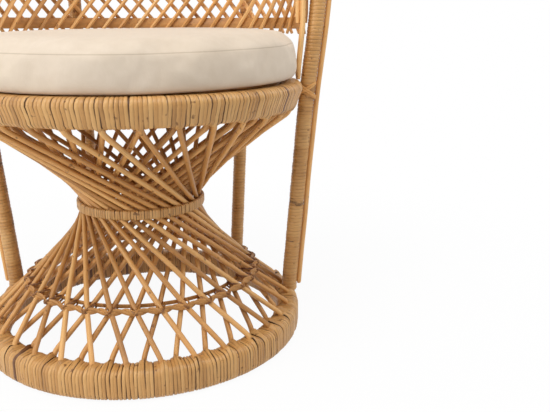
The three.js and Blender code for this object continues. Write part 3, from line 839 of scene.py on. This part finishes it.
# %% Deck
slat_diameter = 0.008
slat_pitch = 0.048
bearer_diameter = 0.014
bearer_spacing = 0.18
hoop_diameter = 0.012
deck_radius = deck_high.x - hoop_diameter / 2
slat_height = deck_high.z - slat_diameter / 2
hoop_height = slat_height - hoop_diameter / 4
hoop_path = [around(deck_radius, math.radians(angle), hoop_height) for angle in range(0, 360, 5)]
slat_rows = int((deck_radius - slat_diameter) / slat_pitch)


def chord_ends(offset, height, crosswise):
    half = math.sqrt(deck_radius ** 2 - offset ** 2)
    if crosswise:
        return [Vector((side * half, axis_y + offset, height)) for side in (-1, 1)]
    return [Vector((offset, axis_y + side * half, height)) for side in (-1, 1)]


deck_spacing = 0.05
slat_offsets = [row * slat_pitch for row in range(-slat_rows, slat_rows + 1)]
slat_paths = [divided(chord_ends(offset, slat_height, True), deck_spacing) for offset in slat_offsets]
bearer_height = slat_height - bearer_diameter / 3
bearer_offsets = (-bearer_spacing / 2, bearer_spacing / 2)
bearer_paths = [divided(chord_ends(offset, bearer_height, False), deck_spacing) for offset in bearer_offsets]
deck = joined("seat_deck_canes", [
    canes("deck_slats", slat_paths, slat_diameter, reed_finish),
    canes("deck_bearers", bearer_paths, bearer_diameter, reed_finish),
    canes("deck_hoop", [hoop_path], hoop_diameter, reed_finish, closed=True),
])
settle(deck, "bare_reed", "seat_deck")

# %% [markdown]
# ## The wall of arms and back
# Arms and back are one bent wall round the seat. It leans back as it rises, widens into the fan and flattens.
# A point on it is found by its turn from the middle of the back and its height, and pushed out or in along
# the wall's normal. Canes drawn through such points lie on the wall, however it bends.

# %% The wall
rail_height = 0.537
rail_end = math.radians(78)
arm_height = 0.64
arch_top = 0.89
fan_widest_height = 1.02
fan_half_width = 0.53
fan_top = 1.465
fan_widest_angle = math.radians(56)
fan_flare_start = 0.6
fan_curve_radius = 2.0
fan_flatten = 0.3
wall_radius = 0.2884
border_diameter = 0.010
cane_pitch = 0.0064
reed_layer = 0.0054
wall_half = cane_pitch + border_diameter / 2
layers = (("inner", 1, -1), ("outer", -1, 1))
fan_width = fan_half_width / math.sin(fan_widest_angle)


def eased(value):
    value = min(max(value, 0), 1)
    return value * value * (3 - 2 * value)


def lean(height):
    return max(0, height - rail_height) ** 2 / (2 * fan_curve_radius)


def wall_width(height):
    flare = eased((height - fan_flare_start) / (fan_widest_height - fan_flare_start))
    return wall_radius + (fan_width - wall_radius) * flare


def wall_surface(turn, height):
    deep = wall_radius - fan_flatten * lean(height)
    depth = axis_y + lean(height) + deep * math.cos(turn)
    return Vector((wall_width(height) * math.sin(turn), depth, height))


def on_wall(turn, height, outwards):
    across = wall_surface(turn + 0.01, height) - wall_surface(turn - 0.01, height)
    upward = wall_surface(turn, height + 0.001) - wall_surface(turn, height - 0.001)
    return wall_surface(turn, height) + upward.cross(across).normalized() * outwards


def at_width(x, height, outwards):
    return on_wall(math.asin(min(max(x / wall_width(height), -1), 1)), height, outwards)


def whole_outline(half):
    """Mirrors a half outline, from its outer end to the top, into the whole one from left to right."""
    return [(-x, height) for x, height in half] + half[-2::-1]


outline_steps = 40
arch_half = []
for step in range(outline_steps + 1):
    share = step / outline_steps
    height = arm_height + (arch_top - arm_height) * math.sin(math.pi / 2 * share)
    arch_half.append((wall_width(height) * math.sin(rail_end * (1 - share)), height))
arch_outline = whole_outline(arch_half)

rim_half = []
for step in range(outline_steps):
    share = step / outline_steps
    height = arm_height + (fan_widest_height - arm_height) * share
    turn = rail_end + (fan_widest_angle - rail_end) * eased(share)
    rim_half.append((wall_width(height) * math.sin(turn), height))
for step in range(outline_steps + 1):
    turn = math.pi / 2 * step / outline_steps
    height = fan_widest_height + (fan_top - fan_widest_height) * math.sin(turn)
    rim_half.append((fan_half_width * math.cos(turn), height))
rim_outline = whole_outline(rim_half)
print("arch of", len(arch_outline), "points and rim of", len(rim_outline))

# %% [markdown]
# ## The lattice
# The wall is filled with two layers of crossing canes. Each cane climbs at a steady slope and stops at the
# arch. At its foot it crosses a flat rail and ends just below it. The two layers keep to either side of the
# wall, each with its own border canes and half of the rail. A woven texture would show no gaps, so every cane
# is real.

# %% Lattice
lattice_diameter = 0.008
lattice_gaps = 24
lattice_slope = 1.15
lattice_rise = 0.004
shortest_reed = 0.024
lattice_pitch = 2 * rail_end / lattice_gaps
rail_band = 0.020
rail_thickness = 0.0026
rail_steps = 40
foot_below = 0.0175
upright_steps = 6


def arch_turn_at(height):
    share = min(max((height - arm_height) / (arch_top - arm_height), 0), 1)
    return rail_end * (1 - math.asin(share) / (math.pi / 2))


lattice_turns = [0.0]
lattice_heights = [rail_height]
while lattice_heights[-1] < arch_top:
    width = wall_width(lattice_heights[-1])
    lattice_turns.append(lattice_turns[-1] + lattice_rise / (lattice_slope * width))
    lattice_heights.append(lattice_heights[-1] + lattice_rise)


def lattice_paths(side, outwards):
    paths = []
    before = math.ceil(lattice_turns[-1] / lattice_pitch)
    for count in range(-before, lattice_gaps):
        start = -rail_end + (count + 0.5) * lattice_pitch
        inside = [step for step, moved in enumerate(lattice_turns)
                  if abs(start + moved) <= arch_turn_at(lattice_heights[step])]
        if len(inside) * lattice_rise < shortest_reed:
            continue
        path = [on_wall(side * (start + lattice_turns[step]), lattice_heights[step], outwards)
                for step in inside[::4] + [inside[-1]]]
        if inside[0] == 0:
            below = start - foot_below / (lattice_slope * wall_radius)
            path.insert(0, on_wall(side * below, rail_height - foot_below, outwards))
        paths.append(path)
    return paths


def rail_path(outwards):
    """Each layer has half of the flat rail that its reeds cross."""
    half = math.copysign(rail_thickness / 2, outwards)
    turns = [rail_end * step / rail_steps for step in range(-rail_steps, rail_steps + 1)]
    return [on_wall(turn, rail_height, half) for turn in turns]


def upright_heights(count):
    """Heights from the rail up to the arm, for the canes that close the lattice."""
    return [rail_height + (arm_height - rail_height) * step / upright_steps for step in range(count)]


def border_path(outwards):
    bow = [at_width(x, height, outwards) for x, height in arch_outline[::2]]
    uprights = upright_heights(upright_steps)
    left = [on_wall(-rail_end, height, outwards) for height in uprights]
    right = [on_wall(rail_end, height, outwards) for height in reversed(uprights)]
    return left + bow + right


for place, side, way in layers:
    name = "lattice_" + place
    reed_paths = lattice_paths(side, way * reed_layer)
    lattice = joined(name + "_canes", [
        canes(name + "_reeds", reed_paths, lattice_diameter, cane_finish, corners=1),
        canes(name + "_border", [border_path(way * cane_pitch)], border_diameter, cane_finish),
        flat_canes(name + "_rail", [rail_path(way)], rail_band, rail_thickness, cane_finish),
    ])
    settle(lattice, "pale_cane", name)

# %% [markdown]
# ## The fan
# Above the arch the back opens into a fan. Spokes run from the arch to canes just inside the rim, again in
# two crossing layers, and a thin hoop ties them halfway. Feet and tips are spaced by length along arch and
# rim, so that the gaps stay even where these bend most.

# %% Fan spokes
fan_spokes = 26
spoke_splay = 1.6
fan_start = 0.13
arch_start = 0.1
rim_diameter = 0.028
fan_inset = rim_diameter / 2 + 0.0028 + border_diameter / 2
fan_hoop_diameter = 0.007
fan_steps = 60
spoke_steps = 14


def evenly(outline, share):
    """The point and the direction of an outline at a share of its length."""
    steps = [math.dist(before, after) for before, after in zip(outline, outline[1:])]
    left = share * sum(steps)
    for before, after, step in zip(outline, outline[1:], steps):
        if left <= step:
            break
        left -= step
    run = Vector((after[0] - before[0], after[1] - before[1])).normalized()
    return Vector(before) + run * left, run


def inside_rim(place):
    point, run = evenly(rim_outline, fan_start + (1 - 2 * fan_start) * place)
    return point + Vector((run.y, -run.x)) * fan_inset


def on_arch(place):
    return evenly(arch_outline, arch_start + (1 - 2 * arch_start) * place)


def spoke_paths(side, outwards):
    paths = []
    for count in range(fan_spokes):
        place = (count + 0.5) / fan_spokes
        over = place + side * spoke_splay / fan_spokes
        if not 0 < over < 1:
            continue
        foot, run = on_arch(place)
        tip = inside_rim(over)
        away = (tip - foot).normalized()
        square = abs(run.x * away.y - run.y * away.x)
        foot = foot + away * (border_diameter + lattice_diameter) / 2 / square
        path = [at_width(*foot.lerp(tip, step / spoke_steps), outwards) for step in range(spoke_steps + 1)]
        paths.append(wavered(path, amount=0.001, length=0.08))
    return paths


for place, side, way in layers:
    name = "fan_spokes_" + place
    border = [at_width(*inside_rim(step / fan_steps), way * cane_pitch) for step in range(fan_steps + 1)]
    fan = joined(name + "_canes", [
        canes(name + "_reeds", spoke_paths(side, way * reed_layer), lattice_diameter, cane_finish, corners=1),
        canes(name + "_border", [border], border_diameter, cane_finish),
    ])
    settle(fan, "pale_cane", name)

hoop_outset = -(reed_layer + lattice_diameter / 2 + fit + fan_hoop_diameter / 2)
hoop_points = [on_arch(step / fan_steps)[0].lerp(inside_rim(step / fan_steps), 0.5)
               for step in range(fan_steps + 1)]
fan_hoop_path = [at_width(*point, hoop_outset) for point in hoop_points]
fan_hoop = canes("fan_hoop_cane", [fan_hoop_path], fan_hoop_diameter, cane_finish)
settle(fan_hoop, "pale_cane", "fan_hoop")

# %% [markdown]
# ## The wound posts and the rim
# The posts and the rim are thick poles, close wound with flat cane. A turn of winding could be bent by hand
# hundreds of times. Instead the strip's section goes up a straight screw, one turn a strip's width apart, and
# a Curve modifier then lays the straight coil along the pole's real line.

# %% Winding round poles
turn_steps = 12
strip_thickness = 0.0006
strip_overlap = 1.02
# Where a pole strip's face sits across the map, nearly clear of the painted edge shade.
strip_side = 0.35
pole_pitch = 0.0062
bundle_turns = 9
core_gap = 0.0012


def straight_coil(name, outer, width, turns):
    """Flat strip wound up a straight screw."""
    inner = outer - strip_thickness
    coil = loop_of(name, 4)
    section = ((inner, 0), (outer, edge_share * width), (outer, (1 - edge_share) * width), (inner, width))
    for vertex, (radius, height) in zip(coil.data.vertices, section):
        vertex.co = (radius, 0, height)
    shape_by(coil, "SCREW", axis="Z", angle=2 * math.pi, screw_offset=pole_pitch, iterations=turns,
             steps=turn_steps, render_steps=turn_steps)
    return coil


def loosen_coil(coil, outer, turns, fullness, chance):
    """Shifts and swells the turns a little, stretches the coil to its pole and tones it strip by strip."""
    places = places_of(coil)
    turn = (places[:, 2] / pole_pitch).astype(int).clip(0, turns)
    marks = np.arange(turns + 2)
    stray = chance.normal(0, 0.07 * pole_pitch, turns + 2)
    stray = stray + 0.16 * pole_pitch * (chance.random(turns + 2) < 0.15)
    places[:, 2] += np.interp(places[:, 2] / pole_pitch, marks, stray)
    swell = np.interp(places[:, 2] / pole_pitch, marks, chance.normal(0, 0.00018, turns + 2))
    places[:, :2] *= (1 + swell / outer)[:, None]
    places[:, 2] *= fullness
    set_places(coil, places)
    bundle = np.repeat(chance.beta(*tone_lean, turns // bundle_turns + 2), bundle_turns)[: turns + 1]
    shade = 0.6 * bundle + 0.4 * chance.random(turns + 1)
    tone = coil.data.attributes.new("tone", "FLOAT", "POINT")
    tone.data.foreach_set("value", shade[turn].astype(np.float32))


def map_coil(coil, outer):
    """Lays the map along the strip: y along it, and x at 0 on its under side, for the painted edge shade, or
    strip_side on its face.
    """
    places = places_of(coil)
    corners = np.zeros(len(coil.data.loops), int)
    coil.data.loops.foreach_get("vertex_index", corners)
    around_pole = np.arctan2(places[:, 1], places[:, 0]) / (2 * math.pi)
    whole = np.round(places[:, 2] / pole_pitch - around_pole)
    along = (whole + around_pole) * 2 * math.pi * outer
    # The under side gets 0 across, where the strip finish paints its darkest edge: painted shade in the
    # crease between turns.
    below = np.hypot(places[:, 0], places[:, 1]) < outer - strip_thickness / 2
    mapped = np.stack([np.where(below, 0.0, strip_side)[corners], along[corners]], axis=-1)
    map_of(coil).data.foreach_set("uv", mapped.astype(np.float32).ravel())


def wound_pole(name, path, diameter, seed):
    """A dark core along the path, painting the shade in the gaps between turns, and a coil of flat strip
    round it.
    """
    outer = diameter / 2
    width = pole_pitch * strip_overlap
    length = run_length(path)
    turns = int(length / pole_pitch)
    coil = straight_coil(name, outer, width, turns)
    fullness = length / (turns * pole_pitch + width)
    loosen_coil(coil, outer, turns, fullness, np.random.default_rng(seed))
    map_coil(coil, outer)
    line = draw_line(name + "_line", [path])
    shape_by(coil, "CURVE", object=line, deform_axis="POS_Z")
    bpy.data.objects.remove(line)
    wear(mended(coil, welded=False), strip_finish)
    core = canes(name + "_core", [path], 2 * (outer - strip_thickness) - core_gap, painted_shade_core_finish, corners=3)
    return joined(name, [coil, core])


print("winding tools ready")

# %% [markdown]
# ## Where the poles run
# The front posts rise from the base ring past the seat ring to the arms, and the rim goes on from them round
# the fan. The rear posts climb behind the back. Loops of thin cane bind the front posts to the seat ring. The
# paths follow the frame's rings and the wall, so that the winding stays on the solid poles.

# %% Posts and rim
post_diameter = 0.028
rear_diameter = 0.026
front_turn = 9 * reed_step
rear_turn = 13 * reed_step
post_outset = wall_half + fit + post_diameter / 2
rear_outset = wall_half + fit + rear_diameter / 2
post_foot_radius = base_high.x - 0.0113
rim_settle = 0.12
foot_run = 0.015
seat_middle = (seat_low.z + seat_high.z) / 2
seat_gap = 0.0006
pole_sink = 0.004
post_bend = 0.05
rear_steps = 24
tie_diameter = 0.0036
tie_points = 20
tie_slopes = (0.5, 0.6, 0.7, -0.6, -0.5)


def rim_outset(height):
    return post_outset * (1 - eased((height - arm_height) / rim_settle))


rim_points = [at_width(x, height, rim_outset(height)) for x, height in rim_outline[::2]]


def post_knots(side, turn, diameter, outset, aside):
    pass_radius = seat_high.x + seat_gap + diameter / 2
    return [
        around(post_foot_radius + aside, side * turn, base_high.z - pole_sink),
        around(post_foot_radius + aside, side * turn, base_high.z + foot_run),
        around(pass_radius + aside, side * turn, seat_middle),
        on_wall(side * (math.pi - turn), rail_height, outset + aside),
    ]


def front_post_path(side):
    top = rim_points[0] if side < 0 else rim_points[-1]
    knots = post_knots(side, front_turn, post_diameter, post_outset, 0)
    return divided(rounded(knots + [top], post_bend), fine_spacing)


def rear_post_path(side):
    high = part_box("rear_post_right")[1]
    knots = post_knots(side, rear_turn, rear_diameter, rear_outset, 0)
    climb = high.z - pole_sink - rail_height
    rises = [rail_height + climb * step / rear_steps for step in range(2, rear_steps + 1)]
    upper = [on_wall(side * (math.pi - rear_turn), height, rear_outset) for height in rises]
    return divided(rounded(knots + upper[:1], post_bend)[:-1] + upper, fine_spacing)


def tie_path(middle, outwards, number, slope):
    """One loop round a front post, lower on one side than on the other."""
    beside = Vector((-outwards.y, outwards.x, 0))
    reach = post_diameter / 2 + tie_diameter * 0.35
    path = []
    for step in range(tie_points):
        turn = 2 * math.pi * step / tie_points
        rise = tie_diameter * number - slope * reach * math.cos(turn)
        aside = (outwards * math.cos(turn) + beside * math.sin(turn)) * reach
        path.append(middle + aside + Vector((0, 0, rise)))
    return path


def ties(name, side):
    """Loops that bind a front post to the seat ring, leaning both ways."""
    middle = around(seat_high.x + seat_gap + post_diameter / 2, side * front_turn, seat_middle)
    outwards = around(1, side * front_turn, 0) - around(0, 0, 0)
    paths = [tie_path(middle, outwards, number - 2, slope) for number, slope in enumerate(tie_slopes)]
    return canes("front_ties_" + name, paths, tie_diameter, reed_finish, corners=1, closed=True)


sides = (("left", -1), ("right", 1))
for name, side in sides:
    post_name = "front_post_" + name
    post = wound_pole(post_name + "_wound", front_post_path(side), post_diameter, seed=7 + side)
    settle(joined(post.name, [post, ties(name, side)]), "wrapped_cane", post_name)
    rear = wound_pole("rear_post_" + name + "_wound", rear_post_path(side), rear_diameter, seed=17 + side)
    settle(rear, "wrapped_cane", "rear_post_" + name)
rim = wound_pole("fan_rim_wound", divided(rim_points, fine_spacing), rim_diameter, seed=27)
settle(rim, "wrapped_cane", "fan_rim")

# %% [markdown]
# ## The thin canes beside them
# A bare cane runs up the outside of each front post and on along the rim, and a pair of thinner ones closes
# the end of each arm's lattice. They are drawn like the reeds, beside the paths of their neighbours.

# %% Side canes, rim cane and arm canes
side_diameter = 0.009
arm_diameter = 0.008
post_aside = post_diameter / 2 + fit + side_diameter / 2
rim_aside = post_aside + 0.0025
side_foot = 0.008
side_tones = (0.3, 0.6)
wide_spacing = 0.03
arm_foot_radius = 0.281
arm_sink = 0.002
arm_groove = math.sqrt(((border_diameter + arm_diameter) / 2 + fit) ** 2 - cane_pitch ** 2)


def beside_rim(count):
    here = rim_points[count]
    before = rim_points[max(count - 1, 0)]
    after = rim_points[min(count + 1, len(rim_points) - 1)]
    run = (after - before).normalized()
    x, height = rim_outline[::2][count]
    outwards = (at_width(x, height, 1) - at_width(x, height, 0)).normalized()
    away = run.cross(outwards).normalized()
    blend = eased((height - arm_height) / rim_settle)
    aside = outwards * (1 - blend) + away * blend
    aside = (aside - run * aside.dot(run)).normalized()
    return here + aside * rim_aside


rim_cane_points = [beside_rim(count) for count in range(len(rim_points))]
for name, side in sides:
    knots = post_knots(side, front_turn, post_diameter, post_outset, post_aside)
    knots[0].z = base_high.z + side_foot
    top = rim_cane_points[0] if side < 0 else rim_cane_points[-1]
    path = wavered(divided(rounded(knots + [top], post_bend), wide_spacing), amount=0.0012, length=0.1)
    side_cane = canes("side_cane_" + name + "_round", [path], side_diameter, cane_finish, tones=side_tones)
    settle(side_cane, "pale_cane", "side_cane_" + name)
    for count, place in enumerate(("rear", "front")):
        turn = rail_end + (arm_groove + count * (arm_diameter + fit)) / wall_radius
        heights = (seat_high.z - arm_sink, seat_high.z - arm_sink + foot_run)
        foot = [around(arm_foot_radius, side * (math.pi - turn), height) for height in heights]
        path = foot + [on_wall(side * turn, height, 0) for height in upright_heights(upright_steps + 1)]
        path = divided(rounded(path, reach=0.01), wide_spacing)
        node = "arm_cane_" + place + "_" + name
        settle(canes(node + "_round", [path], arm_diameter, cane_finish), "pale_cane", node)
rim_cane_path = divided(rim_cane_points, wide_spacing)
rim_cane = canes("rim_cane_round", [rim_cane_path], side_diameter, cane_finish, tones=side_tones)
settle(rim_cane, "pale_cane", "rim_cane")

# %% [markdown]
# ## The cushion
# The seat has a round box cushion: a top and a bottom panel sewn to a band. It starts as a bevelled disc,
# slightly small, that is remeshed into even cells. A cloth simulation with pressure inside swells it while
# its bottom stays held, as by the deck. Smoothing takes out the creases, because the real cover is taut. Then
# the cover is settled into the frame's space for it, a little higher at the back and on one side, as it lies
# in the chair. A bevelled disc alone would look like a plate.

# %% Cushion
cushion_low, cushion_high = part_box("seat_cushion")
cushion_radius = cushion_high.x
cushion_depth = cushion_high.z - cushion_low.z
cover_depth = 0.070
cover_radius = cushion_radius - 0.008
top_corner = 0.013
bottom_corner = 0.011
cell_size = 0.0055
stuffing_pressure = 4
stuffing_frames = 20
most_swelling = 0.014
seam_share = 0.7
side_lift = 0.004
lift_turn = math.radians(13)
lifted_side = Vector((math.cos(lift_turn), math.sin(lift_turn), 0))
edge_drop = 0.07
back_rise = 0.005
top_spread = 0.045
cover_slack = 0.001


def cushion_start():
    """A disc with soft corners, in even cells."""
    bpy.ops.object.select_all(action="DESELECT")
    bpy.ops.mesh.primitive_cylinder_add(vertices=128, radius=cover_radius, depth=cover_depth,
                                        location=(0, axis_y, cushion_low.z + cover_depth / 2))
    disc = bpy.context.object
    disc.name = "cushion_cover"
    bpy.ops.object.transform_apply(location=True, rotation=True, scale=True)
    for level, corner in ((cushion_low.z + cover_depth, top_corner), (cushion_low.z, bottom_corner)):
        bpy.ops.object.mode_set(mode="EDIT")
        bpy.ops.mesh.select_mode(type="EDGE")
        bpy.ops.mesh.select_all(action="DESELECT")
        bpy.ops.object.mode_set(mode="OBJECT")
        for edge in disc.data.edges:
            edge.select = all(abs(disc.data.vertices[end].co.z - level) < 1e-5 for end in edge.vertices)
        bpy.ops.object.mode_set(mode="EDIT")
        bpy.ops.mesh.bevel(offset=corner, segments=5)
        bpy.ops.object.mode_set(mode="OBJECT")
    shape_by(disc, "REMESH", mode="VOXEL", voxel_size=cell_size)
    shape_by(disc, "SMOOTH", factor=0.5, iterations=4)
    return disc


def stuff(cover):
    """Swells a cover by a cloth simulation with pressure, and takes out the creases."""
    before = places_of(cover).astype(float)
    resting = cover.vertex_groups.new(name="resting")
    held = np.flatnonzero(before[:, 2] < cushion_low.z + 0.002)
    resting.add([int(index) for index in held], 1.0, "REPLACE")
    cloth = cover.modifiers.new("stuffing", "CLOTH")
    cloth.settings.use_pressure = True
    cloth.settings.uniform_pressure_force = stuffing_pressure
    cloth.settings.effector_weights.gravity = 0
    cloth.settings.vertex_group_mass = resting.name
    for number in range(1, stuffing_frames + 1):
        bpy.context.scene.frame_set(number)
    only(cover)
    bpy.ops.object.modifier_apply(modifier=cloth.name)
    bpy.context.scene.frame_set(1)
    moved = places_of(cover) - before
    far = np.linalg.norm(moved, axis=1, keepdims=True)
    set_places(cover, before + moved * np.minimum(1, most_swelling / np.maximum(far, 1e-9)))
    shape_by(cover, "SMOOTH", factor=0.5, iterations=16)


def lay_in_seat(cover):
    """Fits a stuffed cover to the frame's space, flat below, and tips it as it lies in the chair."""
    places = places_of(cover).astype(float)
    aside = places[:, :2] - (0, axis_y)
    height = places[:, 2] - cushion_low.z
    aside = aside * (1 + top_spread * np.clip(height / height.max(), 0, 1))[:, None]
    aside = aside * (cushion_radius + cover_slack) / np.hypot(*aside.T).max()
    height = np.maximum(height, 0)
    height = height * cushion_depth / height.max()
    share = height / cushion_depth
    outness = np.clip((np.hypot(*aside.T) / cushion_radius - 0.4) / 0.6, 0, 1) ** 2
    backwards = aside[:, 1] / cushion_radius
    sideways = np.maximum(aside @ np.array(lifted_side.xy) / cushion_radius, 0)
    height = height * (1 - edge_drop * outness) + share * back_rise * backwards + side_lift * sideways
    set_places(cover, np.column_stack([aside + (0, axis_y), height + cushion_low.z]))


pad = cushion_start()
stuff(pad)
lay_in_seat(pad)
shape_by(pad, "SUBSURF", levels=1, render_levels=1)
bpy.ops.object.shade_smooth()
print("cushion stuffed, with", len(pad.data.vertices), "points")

# %% [markdown]
# ## The cushion's cover
# The cover is plain cream cotton with fine threads both ways and faint, cloudy differences of tone. The seam
# between top panel and band is a fine crease on the real cover, so it is drawn in the finish as a dark line
# of painted shade with a slight groove in the bump, at the seam's height and tipped like the cushion.


# %% Cotton
def cream_cloth():
    """Plain woven cotton: two sets of fine threads, soft stains and a matt, slightly fuzzy surface."""
    made, wire, shader = new_material("cushion_cotton")
    place = wire.make("TexCoord", output="Object")
    threads = {"Vector": place, "Scale": 390.0, "Distortion": 1.5}
    warp = wire.make("TexWave", {"bands_direction": "X"}, threads)
    weft = wire.make("TexWave", {"bands_direction": "Y"}, threads)
    weave = (warp + weft) * 0.5
    slub = wire.noise(place, 90.0, 3.0)
    cloud = wire.noise(place, 7.0, 2.0)
    level = weave * 0.08 + slub * 0.36 + cloud * 0.56
    stops = [(0.2, srgb(210, 193, 171)), (0.8, srgb(226, 211, 193))]
    colour = wire.make("ValToRGB", {"stops": stops}, {0: level})
    height = wire.make("SeparateXYZ", None, {0: place}, output=2)
    from_middle = wire.make("VectorMath", {"operation": "SUBTRACT"}, {0: place, 1: (0, axis_y, 0)})

    def reach_along(direction):
        """How far towards one side a point lies, in radii of the cushion."""
        sockets = {0: from_middle, 1: tuple(direction / cushion_radius)}
        return wire.make("VectorMath", {"operation": "DOT_PRODUCT"}, sockets, output="Value")

    lifted = wire.maths("MAXIMUM", reach_along(lifted_side), 0.0) * side_lift
    lifted = lifted + reach_along(Vector((0, 1, 0))) * (seam_share * back_rise)
    # Painted shade: a fine dark line along the seam, as its crease would be shaded; the bump also dents it.
    seam_line = cushion_low.z + seam_share * cushion_depth
    line = 1 - abs(height - lifted - seam_line).between(0.0003, 0.0010)
    colour = (line * 0.4).mixed(colour, (*srgb(158, 138, 112), 1))
    relief = weave * 0.3 + slub * 0.7 - line * 2
    bump = wire.make("Bump", None, {"Strength": 0.18, "Distance": 0.0008, "Height": relief})
    wire.feed(shader, {"Base Color": colour, "Normal": bump})
    shader.inputs["Roughness"].default_value = 0.92
    shader.inputs["Specular IOR Level"].default_value = 0.2
    shader.inputs["Sheen Weight"].default_value = 0.15
    return made


wear(pad, cream_cloth())
settle(pad, "cushion_cloth", "seat_cushion", body="cushion")

# %% [markdown]
# ## Floor and light
# The chair stands on a white floor in soft, even studio light. The floor glows for what sees it directly, so
# the background is white while the chair still throws a faint shadow. The world is dimmer for surfaces than
# for direct sight: a white world at full strength would wash out the gaps between the reeds.

# %% Floor, lamps and world
bpy.ops.object.select_all(action="DESELECT")
floor_drop = 0.0005
bpy.ops.mesh.primitive_circle_add(vertices=64, radius=40, fill_type="NGON", location=(0, 0, -floor_drop))
floor = bpy.context.object
floor.name = "floor"
bpy.ops.object.transform_apply(location=True)
white, wire, shader = new_material("white_floor")
seen = wire.make("LightPath", output="Is Camera Ray")
mirrored = seen.beside("Is Glossy Ray")
shader.inputs["Base Color"].default_value = (0.86, 0.86, 0.86, 1)
shader.inputs["Roughness"].default_value = 0.9
glow = wire.make("Emission", None, {"Color": (1, 1, 1, 1), "Strength": 1.0})
matt = Wire(white.node_tree, shader.outputs[0])
spot = wire.make("TexCoord", output="Object")
away = wire.make("VectorMath", {"operation": "DISTANCE"}, {0: spot, 1: (0, axis_y, 0)}, output="Value")
glow_share = away.between(0.3, 1.3) * 0.06 + 0.94
both = wire.make("MixShader", None, {0: (seen + mirrored) * glow_share, 1: matt, 2: glow})
wire.feed(white.node_tree.nodes["Material Output"], {"Surface": both})
floor.data.materials.append(white)


def lamp(name, place, target, size, power):
    bpy.ops.object.select_all(action="DESELECT")
    turn = (Vector(target) - Vector(place)).to_track_quat("-Z", "Y").to_euler()
    bpy.ops.object.light_add(type="AREA", location=place, rotation=turn)
    made = bpy.context.object
    made.name = name
    made.data.size = size
    made.data.energy = power


lamp("top_light", (-0.5, axis_y - 1.0, 3.0), target=(0, axis_y + 0.1, 0.5), size=2.0, power=52)
lamp("right_light", (2.0, axis_y + 0.2, 2.0), target=(0, axis_y, 0.45), size=0.7, power=18)
lamp("left_light", (-2.2, axis_y - 2.0, 1.1), target=(0, axis_y, 0.3), size=1.4, power=32)

world = bpy.data.worlds.new("studio")
bpy.context.scene.world = world
world.use_nodes = True
sky = Wire(world.node_tree)
seen = sky.make("LightPath", output="Is Camera Ray")
shown = seen + seen.beside("Is Glossy Ray") + seen.beside("Is Transmission Ray")
shown = sky.maths("MINIMUM", shown, 1.0)
surface_light = 0.38
background = world.node_tree.nodes["Background"]
sky.feed(background, {"Color": (1, 1, 1, 1), "Strength": shown * (1 - surface_light) + surface_light})
bpy.context.scene.view_settings.view_transform = "Standard"
print("stage set")
